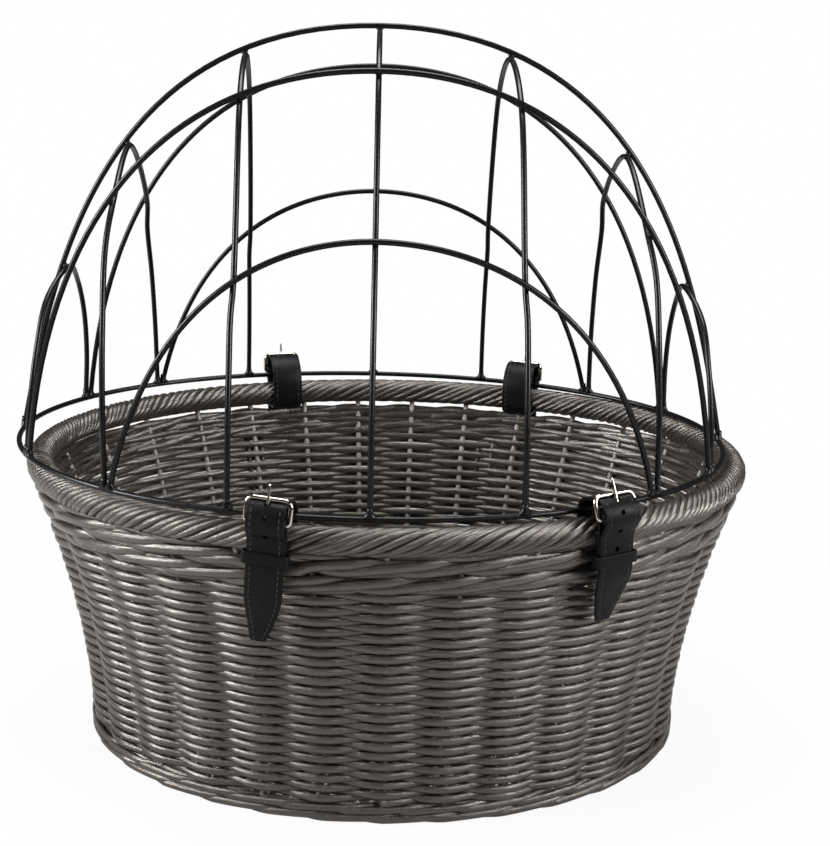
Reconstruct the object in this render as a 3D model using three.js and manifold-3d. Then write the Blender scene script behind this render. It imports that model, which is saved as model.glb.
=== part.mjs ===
// Bicycle basket: an oval woven basket with a wire dome on its border, held by four buckled leather straps.
// Lengths are in millimetres. X runs along the long side, Y from front to back and Z up.
// The origin is the middle of the flat underside.
import * as THREE from 'three';
import { mergeVertices } from 'three/addons/utils/BufferGeometryUtils.js';
import Module from 'manifold-3d';

const wasm = await Module();
wasm.setup();

// Woven basket
const borderHalfLength = 260; // centre line of the rolled border
const borderHalfDepth = 188;
const borderHeight = 217.5;
const borderRadius = 10;
const baseHalfLength = 231; // outside of the wall at the floor
const baseHalfDepth = 166;
const wallThickness = 7;
const wallFlare = 7; // the wall's top stands this far outside the border's centre line
const flarePower = 2;
const footHeight = 16;
const footBulge = 2;
const footRound = 4;
const panelThickness = 8;
const panelSticks = 15; // sticks under the ridges of the woven panel
const panelRelief = 2.6; // the panel's top draws back this far half way between two sticks
const weaveRelief = 4; // the wall's outside draws back this far half way between two stakes
const waleBottom = 172; // the top wale has no such relief
const waleStep = 3;
const stakeCount = 29;
const stakeRadius = 2.5;
const stakeClearance = 0.6;

// Wire dome
const wireRadius = 2;
const ringHalfLength = 265;
const ringHalfDepth = 190;
const domeShiftX = -11; // the dome sits a little to the left and to the back of the border
const domeShiftY = 5;
const domeTilt = 0.4; // degrees, left end up
const ridgeHeight = 299;
const midHeight = 270;
const midHalfDepth = 86.5;
const lowHeight = 168;
const lowHalfDepth = 145;
const weldGap = 0.9;
const crossingGap = 0.9;
const guideShares = [0.3, 0.6, 0.85]; // guide points of a cross arch between its foot and first crossing
const footSpacing = 1.2; // clear space between two wires that share a foot on the ring

// Each arch leans in at its foot, rises and turns into its crown: shares of its half span and height.
const ridgeForm = { lean: 0.093, rise: 0.361, crown: 0.763 };
const midForm = { lean: 0.128, rise: 0.925, crown: 0.261 };
const lowForm = { lean: 0.194, rise: 0.918, crown: 0.219 };

// Cross arches from left to right: place in shares of the ring's half length, turn towards the back
// and lean per unit of height.
const crossArches = [
  { share: -0.9094, turn: 0.05, lean: 0.0795 },
  { share: -0.683, turn: -0.035, lean: -0.004 },
  { share: -0.3811, turn: -0.055, lean: 0.017 },
  { share: 0, turn: 0, lean: -0.001 },
  { share: 0.3679, turn: -0.007, lean: -0.0126 },
  { share: 0.7132, turn: -0.022, lean: -0.0313 },
  { share: 0.9057, turn: -0.005, lean: -0.0588 },
].map((arch) => ({ ...arch, place: arch.share * ringHalfLength }));

// Leather straps
const strapWidth = 25;
const strapThickness = 2.2;
const tipTaperLength = 34;
const tipWidth = 11;
const holePitch = 13.5;
const holeRadius = 1.6;
const spareHoles = 3;
const firstHole = 5; // first spare hole above the heel bar
const keeperHeight = 7.5;
const keeperThickness = 1.4;
const keeperSlack = 1.5; // room beside the strap
const keeperRise = 2.5; // bottom of the keeper above the loop's lowest stretch
const frontLeftSlack = 4; // the loops hang this far below the border
const frontRightSlack = 10;
const backSlack = 1;
const tipReach = 2; // the tip stands this far outside the border's centre line
const ringSwing = 4; // room in the back loops for the ring as the dome tilts open

// Buckles
const barHalf = 1.3;
const barChamfer = 0.5;
const frameLength = 15;
const backLean = 3.8; // degrees, end bar towards the dome
const frontLeftLean = 10;
const frontRightLean = 24;
const frontPass = 14; // degrees, way of the leather under the end bar, upwards and out
const backPass = -45;
const passReach = 10.6; // length of its bend before and after the end bar
const passLeave = 5.3;
const frameCorner = 3;
const heelRise = 1; // heel bar above the ring's centre line
const prongWidth = 2.2;
const prongPast = 10; // tip beyond the end bar
const prongPlay = 1.5;
const frontHole = [0.33, 0.88]; // the prong's hole in the tongue, in shares of the frame's length
const backHole = [0.125, 0.8];

// Tongue ends below the border's centre line
const frontLeftDrop = 72.5;
const frontRightDrop = 63.5;
const backDrop = 61.5;

// Straps: place in shares of the border's half length, sideways hang in degrees and sideways drift of the tip
const frontLoop = { side: -1, pass: frontPass, prongHole: frontHole };
const backLoop = { side: 1, pass: backPass, prongHole: backHole, slack: backSlack, lean: backLean };
const frontLeft = { ...frontLoop, slack: frontLeftSlack, lean: frontLeftLean };
const frontRight = { ...frontLoop, slack: frontRightSlack, lean: frontRightLean };
const straps = [
  { name: 'front_left', share: -0.278, ...frontLeft, drop: frontLeftDrop, hang: -4, drift: 5 },
  { name: 'front_right', share: 0.54, ...frontRight, drop: frontRightDrop, hang: 2, drift: 0 },
  { name: 'back_left', share: -0.3423, ...backLoop, drop: backDrop, hang: 0, drift: 0 },
  { name: 'back_right', share: 0.4558, ...backLoop, drop: backDrop, hang: 0, drift: 0 },
].map((strap) => ({ ...strap, place: strap.share * borderHalfLength }));

// Clearances
const touchGap = 0.3;
const slotClearance = 0.6;
const frameClearance = 0.6;

// Facets
const ovalSegments = 64;
const borderSides = 8;
const wireSides = 6;
const stakeSides = 5;
const wireSteps = 20;
const ridgeSteps = 26;
const wallRows = 3;
const reliefSteps = 4; // facets of the weave between two stakes
const stakeSteps = 6;
const curveSteps = 5;
const holeSides = 8;
const solveSteps = 40;
const runSteps = 720;
const mergeTolerance = 1e-4;

const wicker = new THREE.MeshStandardMaterial({ color: 0x57524d, roughness: 0.7, metalness: 0 });
const wickerDark = new THREE.MeshStandardMaterial({ color: 0x403c39, roughness: 0.75, metalness: 0 });
const blackWire = new THREE.MeshStandardMaterial({ color: 0x131314, roughness: 0.4, metalness: 0.3 });
const blackLeather = new THREE.MeshStandardMaterial({ color: 0x171617, roughness: 0.5, metalness: 0 });
const nickel = new THREE.MeshStandardMaterial({ color: 0xb9b3a8, roughness: 0.25, metalness: 1 });

const part = new THREE.Group();

// Closed bodies keep only their positions, with shared corners merged.
function merged(geometry) {
  const bare = geometry.clone();
  bare.deleteAttribute('normal');
  bare.deleteAttribute('uv');
  return mergeVertices(bare, mergeTolerance);
}

function addPiece(group, name, geometry, material) {
  const body = merged(geometry);
  body.computeVertexNormals();
  const piece = new THREE.Mesh(body, material);
  piece.name = name;
  group.add(piece);
  return piece;
}

function solidOf(geometry) {
  const body = merged(geometry);
  const vertProperties = new Float32Array(body.attributes.position.array);
  const triVerts = new Uint32Array(body.index.array);
  return new wasm.Manifold(new wasm.Mesh({ numProp: 3, vertProperties, triVerts }));
}

function geometryOf(solid) {
  const mesh = solid.getMesh();
  const geometry = new THREE.BufferGeometry();
  geometry.setAttribute('position', new THREE.BufferAttribute(mesh.vertProperties, 3));
  geometry.setIndex(new THREE.BufferAttribute(mesh.triVerts, 1));
  return geometry;
}

// A regular outline whose flats lie on a circle of the given radius or inside it.
function roundOutline(radius, sides, centreX = 0, centreY = 0) {
  const points = [];
  for (let i = 0; i < sides; i += 1) {
    const angle = (2 * Math.PI * (i + 0.5)) / sides;
    points.push(new THREE.Vector2(centreX + radius * Math.cos(angle), centreY + radius * Math.sin(angle)));
  }
  return points;
}

// Turns a closed outline of half lengths and heights round the oval, whose depth is less by the squeeze.
function ovalLathe(outline, squeezeAt) {
  const geometry = new THREE.LatheGeometry([...outline, outline[0]], ovalSegments);
  geometry.rotateX(Math.PI / 2);
  const position = geometry.attributes.position;
  for (let i = 0; i < position.count; i += 1) {
    const halfLength = Math.hypot(position.getX(i), position.getY(i));
    const halfDepth = halfLength - squeezeAt(position.getZ(i));
    position.setY(i, (position.getY(i) * halfDepth) / halfLength);
  }
  return geometry;
}

function wireAlong(path, steps, radius = wireRadius, sides = wireSides) {
  const section = new THREE.Shape(roundOutline(radius, sides));
  return new THREE.ExtrudeGeometry(section, { steps, extrudePath: path });
}

// Basket

const half = strapThickness / 2;
const snug = borderRadius + touchGap + half;
const borderUnderside = borderHeight - borderRadius;
const wallTop = borderUnderside - strapThickness - touchGap - slotClearance;
const baseSqueeze = baseHalfLength - baseHalfDepth;
const borderSqueeze = borderHalfLength - borderHalfDepth;

function flareAt(z) {
  return (Math.max(z, 0) / borderUnderside) ** flarePower;
}

function squeezeAt(z) {
  return baseSqueeze + (borderSqueeze - baseSqueeze) * Math.min(flareAt(z), 1);
}

function wallHalfLength(z) {
  return baseHalfLength + (borderHalfLength + wallFlare - baseHalfLength) * flareAt(z);
}

function ovalPoint(halfLength, z, turn) {
  const halfDepth = halfLength - squeezeAt(z);
  return new THREE.Vector3(halfLength * Math.sin(turn), -halfDepth * Math.cos(turn), z);
}

// The wall swells over each stake and draws back between two stakes, up to the top wale.
const wallBottom = footHeight + touchGap;
const wallHeights = [];
for (let i = 0; i <= wallRows; i += 1) {
  wallHeights.push(wallBottom + ((waleBottom - wallBottom) * i) / wallRows);
}
wallHeights.push(waleBottom + waleStep, wallTop);

function wallColumn(number) {
  const turn = turnAtRun(number / (stakeCount * reliefSteps));
  const drawn = weaveRelief * (1 - Math.abs(Math.cos((Math.PI * number) / reliefSteps)));
  const outside = wallHeights.map((z) => {
    return ovalPoint(wallHalfLength(z) - (z > waleBottom ? 0 : drawn), z, turn);
  });
  const inside = wallHeights.map((z) => ovalPoint(wallHalfLength(z) - wallThickness, z, turn));
  return [...outside, ...inside.reverse()];
}

// A closed ring of columns, each a closed outline with the same number of points
function ringOfColumns(columns) {
  const count = columns[0].length;
  const faces = [];
  columns.forEach((column, i) => {
    const here = i * count;
    const next = ((i + 1) % columns.length) * count;
    for (let k = 0; k < count; k += 1) {
      const above = (k + 1) % count;
      faces.push(here + k, next + k, next + above, here + k, next + above, here + above);
    }
  });
  const geometry = new THREE.BufferGeometry().setFromPoints(columns.flat());
  geometry.setIndex(faces);
  return geometry;
}

const wallColumns = [];
for (let i = 0; i < stakeCount * reliefSteps; i += 1) {
  wallColumns.push(wallColumn(i));
}
let wall = solidOf(ringOfColumns(wallColumns));

// Notches in the wall's top, where the straps pass
straps.forEach((strap) => {
  const notch = new THREE.BoxGeometry(2 * strapWidth, 2 * strapWidth, strapWidth + 2 * slotClearance);
  notch.translate(0, strapWidth - loopDepth(strap) - half - slotClearance, 0);
  notch.rotateX(Math.PI / 2 + hangOf(strap));
  const at = placeOnBorder(strap);
  notch.rotateZ(Math.atan2(at.outward.y, at.outward.x));
  notch.translate(at.x, at.y, borderHeight);
  wall = wall.subtract(solidOf(notch));
});
addPiece(part, 'woven_wall', geometryOf(wall), wicker);

const borderOutline = roundOutline(borderRadius, borderSides, borderHalfLength, borderHeight);
addPiece(part, 'rim_border', ovalLathe(borderOutline, () => borderSqueeze), wicker);

const footOutside = baseHalfLength + footBulge;
const footInside = baseHalfLength - wallThickness;
const footOutline = [
  new THREE.Vector2(footInside, 0),
  new THREE.Vector2(footOutside - footRound, 0),
  new THREE.Vector2(footOutside - footRound * (1 - Math.SQRT1_2), footRound * (1 - Math.SQRT1_2)),
  new THREE.Vector2(footOutside, footRound),
  new THREE.Vector2(footOutside, footHeight),
  new THREE.Vector2(footInside, footHeight),
];
addPiece(part, 'foot_border', ovalLathe(footOutline, () => baseSqueeze), wicker);

const panelHalfLength = footInside - touchGap;
const panelOutline = new THREE.Shape();
panelOutline.absellipse(0, 0, panelHalfLength, panelHalfLength - baseSqueeze, 0, 2 * Math.PI);
const panel = new THREE.ExtrudeGeometry(panelOutline, {
  depth: panelThickness,
  bevelEnabled: false,
  curveSegments: ovalSegments,
});
const panelHalfDepth = panelHalfLength - baseSqueeze;
const ridges = new THREE.Shape();
ridges.moveTo(-panelHalfDepth, 0);
for (let i = 0; i <= 2 * panelSticks; i += 1) {
  const y = panelHalfDepth * (i / panelSticks - 1);
  ridges.lineTo(y, i % 2 === 1 ? panelThickness : panelThickness - panelRelief);
}
ridges.lineTo(panelHalfDepth, 0);
const ridged = new THREE.ExtrudeGeometry(ridges, { depth: 2 * panelHalfLength, bevelEnabled: false });
ridged.translate(0, 0, -panelHalfLength);
ridged.rotateX(Math.PI / 2);
ridged.rotateZ(Math.PI / 2);
addPiece(part, 'base_panel', geometryOf(solidOf(panel).intersect(solidOf(ridged))), wickerDark);

// Places of the straps on the border, with their outward and sideways directions and the border's bow
// across half a strap's width

function hangOf(strap) {
  return THREE.MathUtils.degToRad(strap.hang);
}

function placeOnBorder(strap) {
  const y = strap.side * borderHalfDepth * Math.sqrt(1 - (strap.place / borderHalfLength) ** 2);
  const outward = new THREE.Vector2(strap.place / borderHalfLength ** 2, y / borderHalfDepth ** 2);
  outward.normalize();
  const sine = y / borderHalfDepth;
  const cosine = strap.place / borderHalfLength;
  const run = Math.hypot(borderHalfLength * sine, borderHalfDepth * cosine);
  const bendRadius = run ** 3 / (borderHalfLength * borderHalfDepth);
  const reach = strapWidth / 2 + Math.abs(Math.sin(hangOf(strap))) * frameLength;
  const bow = reach ** 2 / (2 * bendRadius);
  return { x: strap.place, y, outward, bow, sideways: new THREE.Vector2(outward.y, -outward.x) };
}

// Middle of the leather under the border, below the border's centre line
function loopDepth(strap) {
  return snug + placeOnBorder(strap).bow + strap.slack;
}

// Upright stakes inside the wall, evenly spaced on a hoop that lies on the panel. Their tops meet the border
// from below. A stake in a strap's way ends under the strap.

// Turn of the oval at a share of its whole run, measured at the border
function turnAtRun(share) {
  const runs = [0];
  const stepTurn = (2 * Math.PI) / runSteps;
  for (let i = 0; i < runSteps; i += 1) {
    const turn = (i + 0.5) * stepTurn;
    const pace = Math.hypot(borderHalfLength * Math.cos(turn), borderHalfDepth * Math.sin(turn));
    runs.push(runs[i] + pace * stepTurn);
  }
  const wanted = share * runs[runSteps];
  const after = Math.max(runs.findIndex((run) => run >= wanted), 1);
  const past = (wanted - runs[after - 1]) / (runs[after] - runs[after - 1]);
  return (after - 1 + past) * stepTurn;
}

const stakeInset = wallThickness + stakeClearance + stakeRadius;
const hoopHeight = panelThickness + touchGap + stakeRadius;
const stakeEndDrop = stakeRadius / 4;
const borderFlat = borderRadius * Math.cos(Math.PI / borderSides);

function strapOver(point) {
  return straps.find((strap) => {
    const at = placeOnBorder(strap);
    const from = new THREE.Vector2(point.x - at.x, point.y - at.y);
    const reach = strapWidth * (1 / 2 + Math.abs(Math.sin(hangOf(strap)))) + stakeRadius + 2 * touchGap;
    return Math.abs(from.dot(at.sideways)) < reach && Math.abs(from.dot(at.outward)) < strapWidth;
  });
}

const hoopOutline = roundOutline(stakeRadius, stakeSides, wallHalfLength(hoopHeight) - stakeInset, hoopHeight);
let stakeFrame = solidOf(ovalLathe(hoopOutline, squeezeAt));
for (let i = 0; i < stakeCount; i += 1) {
  const turn = turnAtRun(i / stakeCount);
  const atTop = ovalPoint(wallHalfLength(wallTop) - stakeInset, wallTop, turn);
  const over = strapOver(atTop);
  const ceiling = borderHeight - (over ? loopDepth(over) + half + strapThickness : borderFlat);
  const top = ceiling - touchGap - stakeEndDrop;
  const points = [];
  for (let k = 0; k <= stakeSteps; k += 1) {
    const z = hoopHeight + ((top - hoopHeight) * k) / stakeSteps;
    points.push(ovalPoint(wallHalfLength(z) - stakeInset, z, turn));
  }
  const stake = wireAlong(new THREE.CatmullRomCurve3(points), stakeSteps, stakeRadius, stakeSides);
  stakeFrame = stakeFrame.add(solidOf(stake));
}
addPiece(part, 'stake_frame', geometryOf(stakeFrame), wickerDark);

// Dome

const tilt = THREE.MathUtils.degToRad(domeTilt);

// The ring rests on the border: the dome is as low as the border's round top lets it be.
function domeSeat() {
  const reach = borderRadius + wireRadius + touchGap;
  const samples = 4 * ovalSegments;
  let seat = 0;
  for (let i = 0; i < samples; i += 1) {
    const angle = (2 * Math.PI * i) / samples;
    const along = ringHalfLength * Math.cos(angle);
    const x = domeShiftX + along * Math.cos(tilt);
    const y = domeShiftY + ringHalfDepth * Math.sin(angle);
    let nearest = Infinity;
    for (let j = 0; j < samples; j += 1) {
      const turn = (2 * Math.PI * j) / samples;
      const borderX = borderHalfLength * Math.cos(turn);
      const borderY = borderHalfDepth * Math.sin(turn);
      nearest = Math.min(nearest, Math.hypot(x - borderX, y - borderY));
    }
    const clear = Math.sqrt(Math.max(reach ** 2 - nearest ** 2, 0));
    seat = Math.max(seat, clear + along * Math.sin(tilt));
  }
  return seat;
}

const domeHeight = borderHeight + domeSeat();
const dome = new THREE.Group();
dome.position.set(domeShiftX, domeShiftY, domeHeight);
dome.rotation.y = tilt;
part.add(dome);

const ringOutline = roundOutline(wireRadius, wireSides, ringHalfLength, 0);
addPiece(dome, 'base_ring', ovalLathe(ringOutline, () => ringHalfLength - ringHalfDepth), blackWire);

const footZ = wireRadius + weldGap;

function ringPoint(angle) {
  return new THREE.Vector3(ringHalfLength * Math.cos(angle), ringHalfDepth * Math.sin(angle), footZ);
}

// Where a cross arch's plane meets the ring in front (side -1) or at the back (side 1)
function crossFootAngle(arch, side) {
  let angle = side * Math.acos(arch.place / ringHalfLength);
  for (let i = 0; i < solveSteps; i += 1) {
    const x = arch.place + arch.turn * ringHalfDepth * Math.sin(angle);
    angle = side * Math.acos(x / ringHalfLength);
  }
  return angle;
}

// The foot of a long arch stands beside a cross arch's foot, on the side of the dome's middle.
function neighbourFoot(arch, side) {
  const angle = crossFootAngle(arch, side);
  const middle = (side * Math.PI) / 2;
  const pace = Math.hypot(ringHalfLength * Math.sin(angle), ringHalfDepth * Math.cos(angle));
  const step = (2 * wireRadius + footSpacing) / pace;
  return ringPoint(angle + Math.sign(middle - angle) * step);
}

// Half an arch from its foot to its crown
function halfArch(foot, crown, form) {
  const rise = footZ + (crown.z - footZ) * form.rise;
  const share = (rise - footZ) / (crown.z - footZ);
  return new THREE.CubicBezierCurve3(
    foot,
    new THREE.Vector3(foot.x * (1 - form.lean), foot.y + (crown.y - foot.y) * share, rise),
    new THREE.Vector3(foot.x * form.crown, crown.y, crown.z),
    crown,
  );
}

function longArch(leftFoot, rightFoot, crown, form) {
  const path = new THREE.CurvePath();
  path.add(halfArch(leftFoot, crown, form));
  const right = halfArch(rightFoot, crown, form);
  path.add(new THREE.CubicBezierCurve3(right.v3, right.v2, right.v1, right.v0));
  return path;
}

const leftEnd = crossArches[0];
const rightEnd = crossArches[crossArches.length - 1];
const leftNext = crossArches[1];
const rightNext = crossArches[crossArches.length - 2];

function pairedArch(left, right, side, halfDepth, height, form) {
  const crown = new THREE.Vector3(0, side * halfDepth, height);
  return longArch(neighbourFoot(left, side), neighbourFoot(right, side), crown, form);
}

const ridge = longArch(ringPoint(Math.PI), ringPoint(0), new THREE.Vector3(0, 0, ridgeHeight), ridgeForm);
const sides = [-1, 1]; // front and back
const midArches = sides.map((side) => pairedArch(leftEnd, rightEnd, side, midHalfDepth, midHeight, midForm));
const lowArches = sides.map((side) => pairedArch(leftNext, rightNext, side, lowHalfDepth, lowHeight, lowForm));
addPiece(dome, 'ridge_arch', wireAlong(ridge, ridgeSteps), blackWire);
addPiece(dome, 'front_mid_arch', wireAlong(midArches[0], ridgeSteps), blackWire);
addPiece(dome, 'back_mid_arch', wireAlong(midArches[1], ridgeSteps), blackWire);
addPiece(dome, 'front_low_arch', wireAlong(lowArches[0], wireSteps), blackWire);
addPiece(dome, 'back_low_arch', wireAlong(lowArches[1], wireSteps), blackWire);

// Where a long arch passes through a cross arch's plane, with its direction there
function crossing(path, arch) {
  const offPlane = (t) => {
    const p = path.getPoint(t);
    return p.x - arch.place - arch.turn * p.y - arch.lean * p.z;
  };
  let low = 0;
  let high = 1;
  for (let i = 0; i < solveSteps; i += 1) {
    const middle = (low + high) / 2;
    if (offPlane(middle) < 0) low = middle;
    else high = middle;
  }
  return { point: path.getPoint(low), tangent: path.getTangent(low) };
}

function isInside(path, arch) {
  const first = path.getPoint(0);
  const last = path.getPoint(1);
  const reach = 4 * wireRadius;
  return arch.place > first.x + reach && arch.place < last.x - reach;
}

// Cross arches pass inside the long arches, one wire and a crossing gap below them.
crossArches.forEach((arch, index) => {
  const over = [];
  if (isInside(lowArches[0], arch)) over.push(crossing(lowArches[0], arch));
  if (isInside(midArches[0], arch)) over.push(crossing(midArches[0], arch));
  over.push(crossing(ridge, arch));
  if (isInside(midArches[1], arch)) over.push(crossing(midArches[1], arch));
  if (isInside(lowArches[1], arch)) over.push(crossing(lowArches[1], arch));
  const frontFoot = ringPoint(crossFootAngle(arch, -1));
  const backFoot = ringPoint(crossFootAngle(arch, 1));
  const outline = [frontFoot, ...over.map((c) => c.point), backFoot];
  const middle = new THREE.Vector3(arch.place, 0, footZ);
  const below = over.map((c, i) => {
    const along = outline[i + 2].clone().sub(outline[i]);
    const inward = new THREE.Vector3().crossVectors(c.tangent, along).normalize();
    if (inward.dot(middle.clone().sub(c.point)) < 0) inward.negate();
    return c.point.clone().addScaledVector(inward, 2 * wireRadius + crossingGap);
  });
  const top = below[(below.length - 1) / 2];
  // Between a foot and the first crossing the wire follows an oval, as tall as the arch.
  const guides = (foot, first) => guideShares.map((share) => {
    const z = footZ + (first.z - footZ) * share;
    const fall = (height) => 1 - Math.sqrt(1 - Math.min((height - footZ) / (top.z - footZ), 1) ** 2);
    const bent = fall(z) / fall(first.z);
    const y = foot.y + (first.y - foot.y) * bent;
    return new THREE.Vector3(arch.place + arch.turn * y + arch.lean * z, y, z);
  });
  const points = [
    frontFoot,
    ...guides(frontFoot, below[0]),
    ...below,
    ...guides(backFoot, below[below.length - 1]).reverse(),
    backFoot,
  ];
  const path = new THREE.CatmullRomCurve3(points);
  addPiece(dome, `cross_arch_${index + 1}`, wireAlong(path, wireSteps), blackWire);
});

// Straps and buckles. Each is drawn in its own plane: x runs outward from the border's centre line and y up.
// Its width lies along z.

// A strip of even thickness along a path in the plane
function stripOutline(points, thickness) {
  const left = [];
  const right = [];
  points.forEach((p, i) => {
    const before = points[Math.max(i - 1, 0)];
    const after = points[Math.min(i + 1, points.length - 1)];
    const along = after.clone().sub(before).normalize();
    const across = new THREE.Vector2(-along.y, along.x).multiplyScalar(thickness / 2);
    left.push(p.clone().sub(across));
    right.unshift(p.clone().add(across));
  });
  return new THREE.Shape([...left, ...right]);
}

function extruded(shape, depth) {
  const geometry = new THREE.ExtrudeGeometry(shape, { depth, bevelEnabled: false });
  return geometry.translate(0, 0, -depth / 2);
}

function block(x0, x1, y0, y1, width) {
  const geometry = new THREE.BoxGeometry(x1 - x0, y1 - y0, width);
  return geometry.translate((x0 + x1) / 2, (y0 + y1) / 2, 0);
}

const barReach = Math.hypot(barHalf, barHalf - barChamfer);
const foldRadius = barReach + touchGap + half;
const prongHalf = prongWidth / 2;
const loopRadius = barReach + touchGap + prongHalf;
const heelReach = Math.max(foldRadius + half, loopRadius + prongHalf);
const tongueReach = heelReach + 2 * touchGap + half;
const prongBeside = barHalf + touchGap + prongHalf;
const frameHalfWidth = strapWidth / 2 + frameClearance;
const keeperRoom = touchGap + keeperThickness + touchGap + half;

// Where the ring lies in a strap's plane
function ringIn(strap, at) {
  const along = (strap.place - domeShiftX) / Math.cos(tilt);
  const y = domeShiftY + strap.side * ringHalfDepth * Math.sqrt(1 - (along / ringHalfLength) ** 2);
  const outward = (y - at.y) * at.outward.y;
  return { x: outward, y: domeHeight - borderHeight - along * Math.sin(tilt) };
}

straps.forEach((strap) => {
  const at = placeOnBorder(strap);
  const ring = ringIn(strap, at);
  const swing = strap.side > 0 ? ringSwing : 0;
  const backX = Math.max(borderRadius + keeperRoom, ring.x + wireRadius + swing + touchGap + half);
  const heel = new THREE.Vector2(backX + foldRadius, ring.y + heelRise);
  const lean = THREE.MathUtils.degToRad(strap.lean);
  const end = heel.clone().add(new THREE.Vector2(-Math.sin(lean), Math.cos(lean)).multiplyScalar(frameLength));
  const pass = THREE.MathUtils.degToRad(strap.pass);
  const way = new THREE.Vector2(Math.cos(pass), Math.sin(pass));
  const underEnd = end.clone().addScaledVector(new THREE.Vector2(way.y, -way.x), foldRadius);
  const tongueX = backX + strapThickness + touchGap;
  const keeperDrop = snug + strap.slack - keeperRise;
  const keeperTop = keeperHeight - keeperDrop;
  const turn = strapThickness * 2;
  const hug = snug + at.bow;

  // From the fold round the heel bar, down outside, under the border, up inside, over the ring,
  // under the end bar, over the fold and down outside to the tip
  const path = new THREE.Path();
  path.absarc(heel.x, heel.y, foldRadius, -Math.PI / 5, Math.PI, false);
  path.lineTo(backX, -keeperDrop + touchGap);
  const low = loopDepth(strap);
  path.bezierCurveTo(backX, -low, backX - turn / 2, -low, backX - turn, -low);
  path.lineTo(0, -low);
  path.absarc(0, -strap.slack, hug, -Math.PI / 2, -Math.PI, true);
  path.lineTo(-hug, ring.y / 2);
  const reachEnd = underEnd.clone().addScaledVector(way, -passReach);
  path.bezierCurveTo(-hug, underEnd.y, reachEnd.x, reachEnd.y, underEnd.x, underEnd.y);
  const leave = underEnd.clone().addScaledVector(way, passLeave);
  const overHeelX = heel.x + tongueReach;
  path.bezierCurveTo(leave.x, leave.y, overHeelX, heel.y + frameLength / 2, overHeelX, heel.y);
  path.bezierCurveTo(overHeelX, heel.y / 2, tongueX, heel.y / 2, tongueX, keeperTop + holePitch / 2);
  path.lineTo(tongueX, -keeperDrop);
  path.bezierCurveTo(tongueX, -strap.drop / 2, hug, -strap.drop / 2, tipReach, -strap.drop);
  const leather = path.getPoints(curveSteps);
  let strip = solidOf(extruded(stripOutline(leather, strapThickness), strapWidth));

  // Slot in the fold and elongated hole in the tongue for the prong, both turned with the frame
  const slotHalf = heelReach + touchGap;
  const slot = block(-slotHalf, slotHalf, -slotHalf, slotHalf, prongWidth + 2 * frameClearance);
  const holeInner = prongBeside - prongHalf - prongPlay;
  const holeOuter = prongBeside + prongHalf + prongPlay;
  const [holeFoot, holeTop] = strap.prongHole.map((share) => share * frameLength);
  const hole = block(holeInner, holeOuter, holeFoot, holeTop, prongWidth + 2 * prongPlay);
  [slot, hole].forEach((cut) => {
    cut.rotateZ(lean);
    cut.translate(heel.x, heel.y, 0);
    strip = strip.subtract(solidOf(cut));
  });

  // Spare holes, one pitch apart down the tongue
  for (let i = 0; i < spareHoles; i += 1) {
    const punch = new THREE.CylinderGeometry(holeRadius, holeRadius, 2 * frameLength, holeSides);
    punch.rotateZ(Math.PI / 2);
    punch.translate(tongueX - half - touchGap / 2 + frameLength, heel.y + firstHole - i * holePitch, 0);
    strip = strip.subtract(solidOf(punch));
  }

  // The tip narrows on both sides.
  [-1, 1].forEach((side) => {
    const corner = new THREE.Shape([
      new THREE.Vector2((side * strapWidth) / 2, tipTaperLength - strap.drop),
      new THREE.Vector2((side * tipWidth) / 2, -strap.drop - strapThickness),
      new THREE.Vector2(side * strapWidth, -strap.drop - strapThickness),
      new THREE.Vector2(side * strapWidth, tipTaperLength - strap.drop),
    ]);
    const wedge = extruded(corner, 4 * tongueX);
    wedge.rotateY(-Math.PI / 2);
    strip = strip.subtract(solidOf(wedge));
  });

  // Below the loop the tongue drifts sideways.
  const driftTop = -low - strapThickness;
  strip = strip.warp((vertex) => {
    const share = Math.max(driftTop - vertex[1], 0) / (driftTop + strap.drop);
    vertex[2] += strap.drift * share ** 2;
  });

  const stand = new THREE.Group();
  stand.position.set(at.x, at.y, borderHeight);
  stand.rotation.z = Math.atan2(at.outward.y, at.outward.x);
  const plane = new THREE.Group();
  plane.rotation.x = Math.PI / 2 + hangOf(strap);
  stand.add(plane);
  part.add(stand);
  addPiece(plane, `${strap.name}_strap`, geometryOf(strip), blackLeather);

  // Keeper loop round both layers below the buckle
  const keeperIn = backX - half - touchGap;
  const keeperOut = tongueX + half + touchGap;
  const keeperSide = strapWidth / 2 + keeperSlack;
  const keeperOutline = new THREE.Shape();
  keeperOutline.moveTo(keeperIn - keeperThickness, -keeperSide - keeperThickness);
  keeperOutline.lineTo(keeperOut + keeperThickness, -keeperSide - keeperThickness);
  keeperOutline.lineTo(keeperOut + keeperThickness, keeperSide + keeperThickness);
  keeperOutline.lineTo(keeperIn - keeperThickness, keeperSide + keeperThickness);
  const keeperHole = new THREE.Path();
  keeperHole.moveTo(keeperIn, -keeperSide);
  keeperHole.lineTo(keeperIn, keeperSide);
  keeperHole.lineTo(keeperOut, keeperSide);
  keeperHole.lineTo(keeperOut, -keeperSide);
  keeperOutline.holes.push(keeperHole);
  const keeper = extruded(keeperOutline, keeperHeight);
  keeper.rotateX(-Math.PI / 2);
  const keeperPiece = addPiece(plane, `${strap.name}_keeper`, keeper, blackLeather);
  keeperPiece.position.y = keeperHeight / 2 - keeperDrop;

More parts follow.
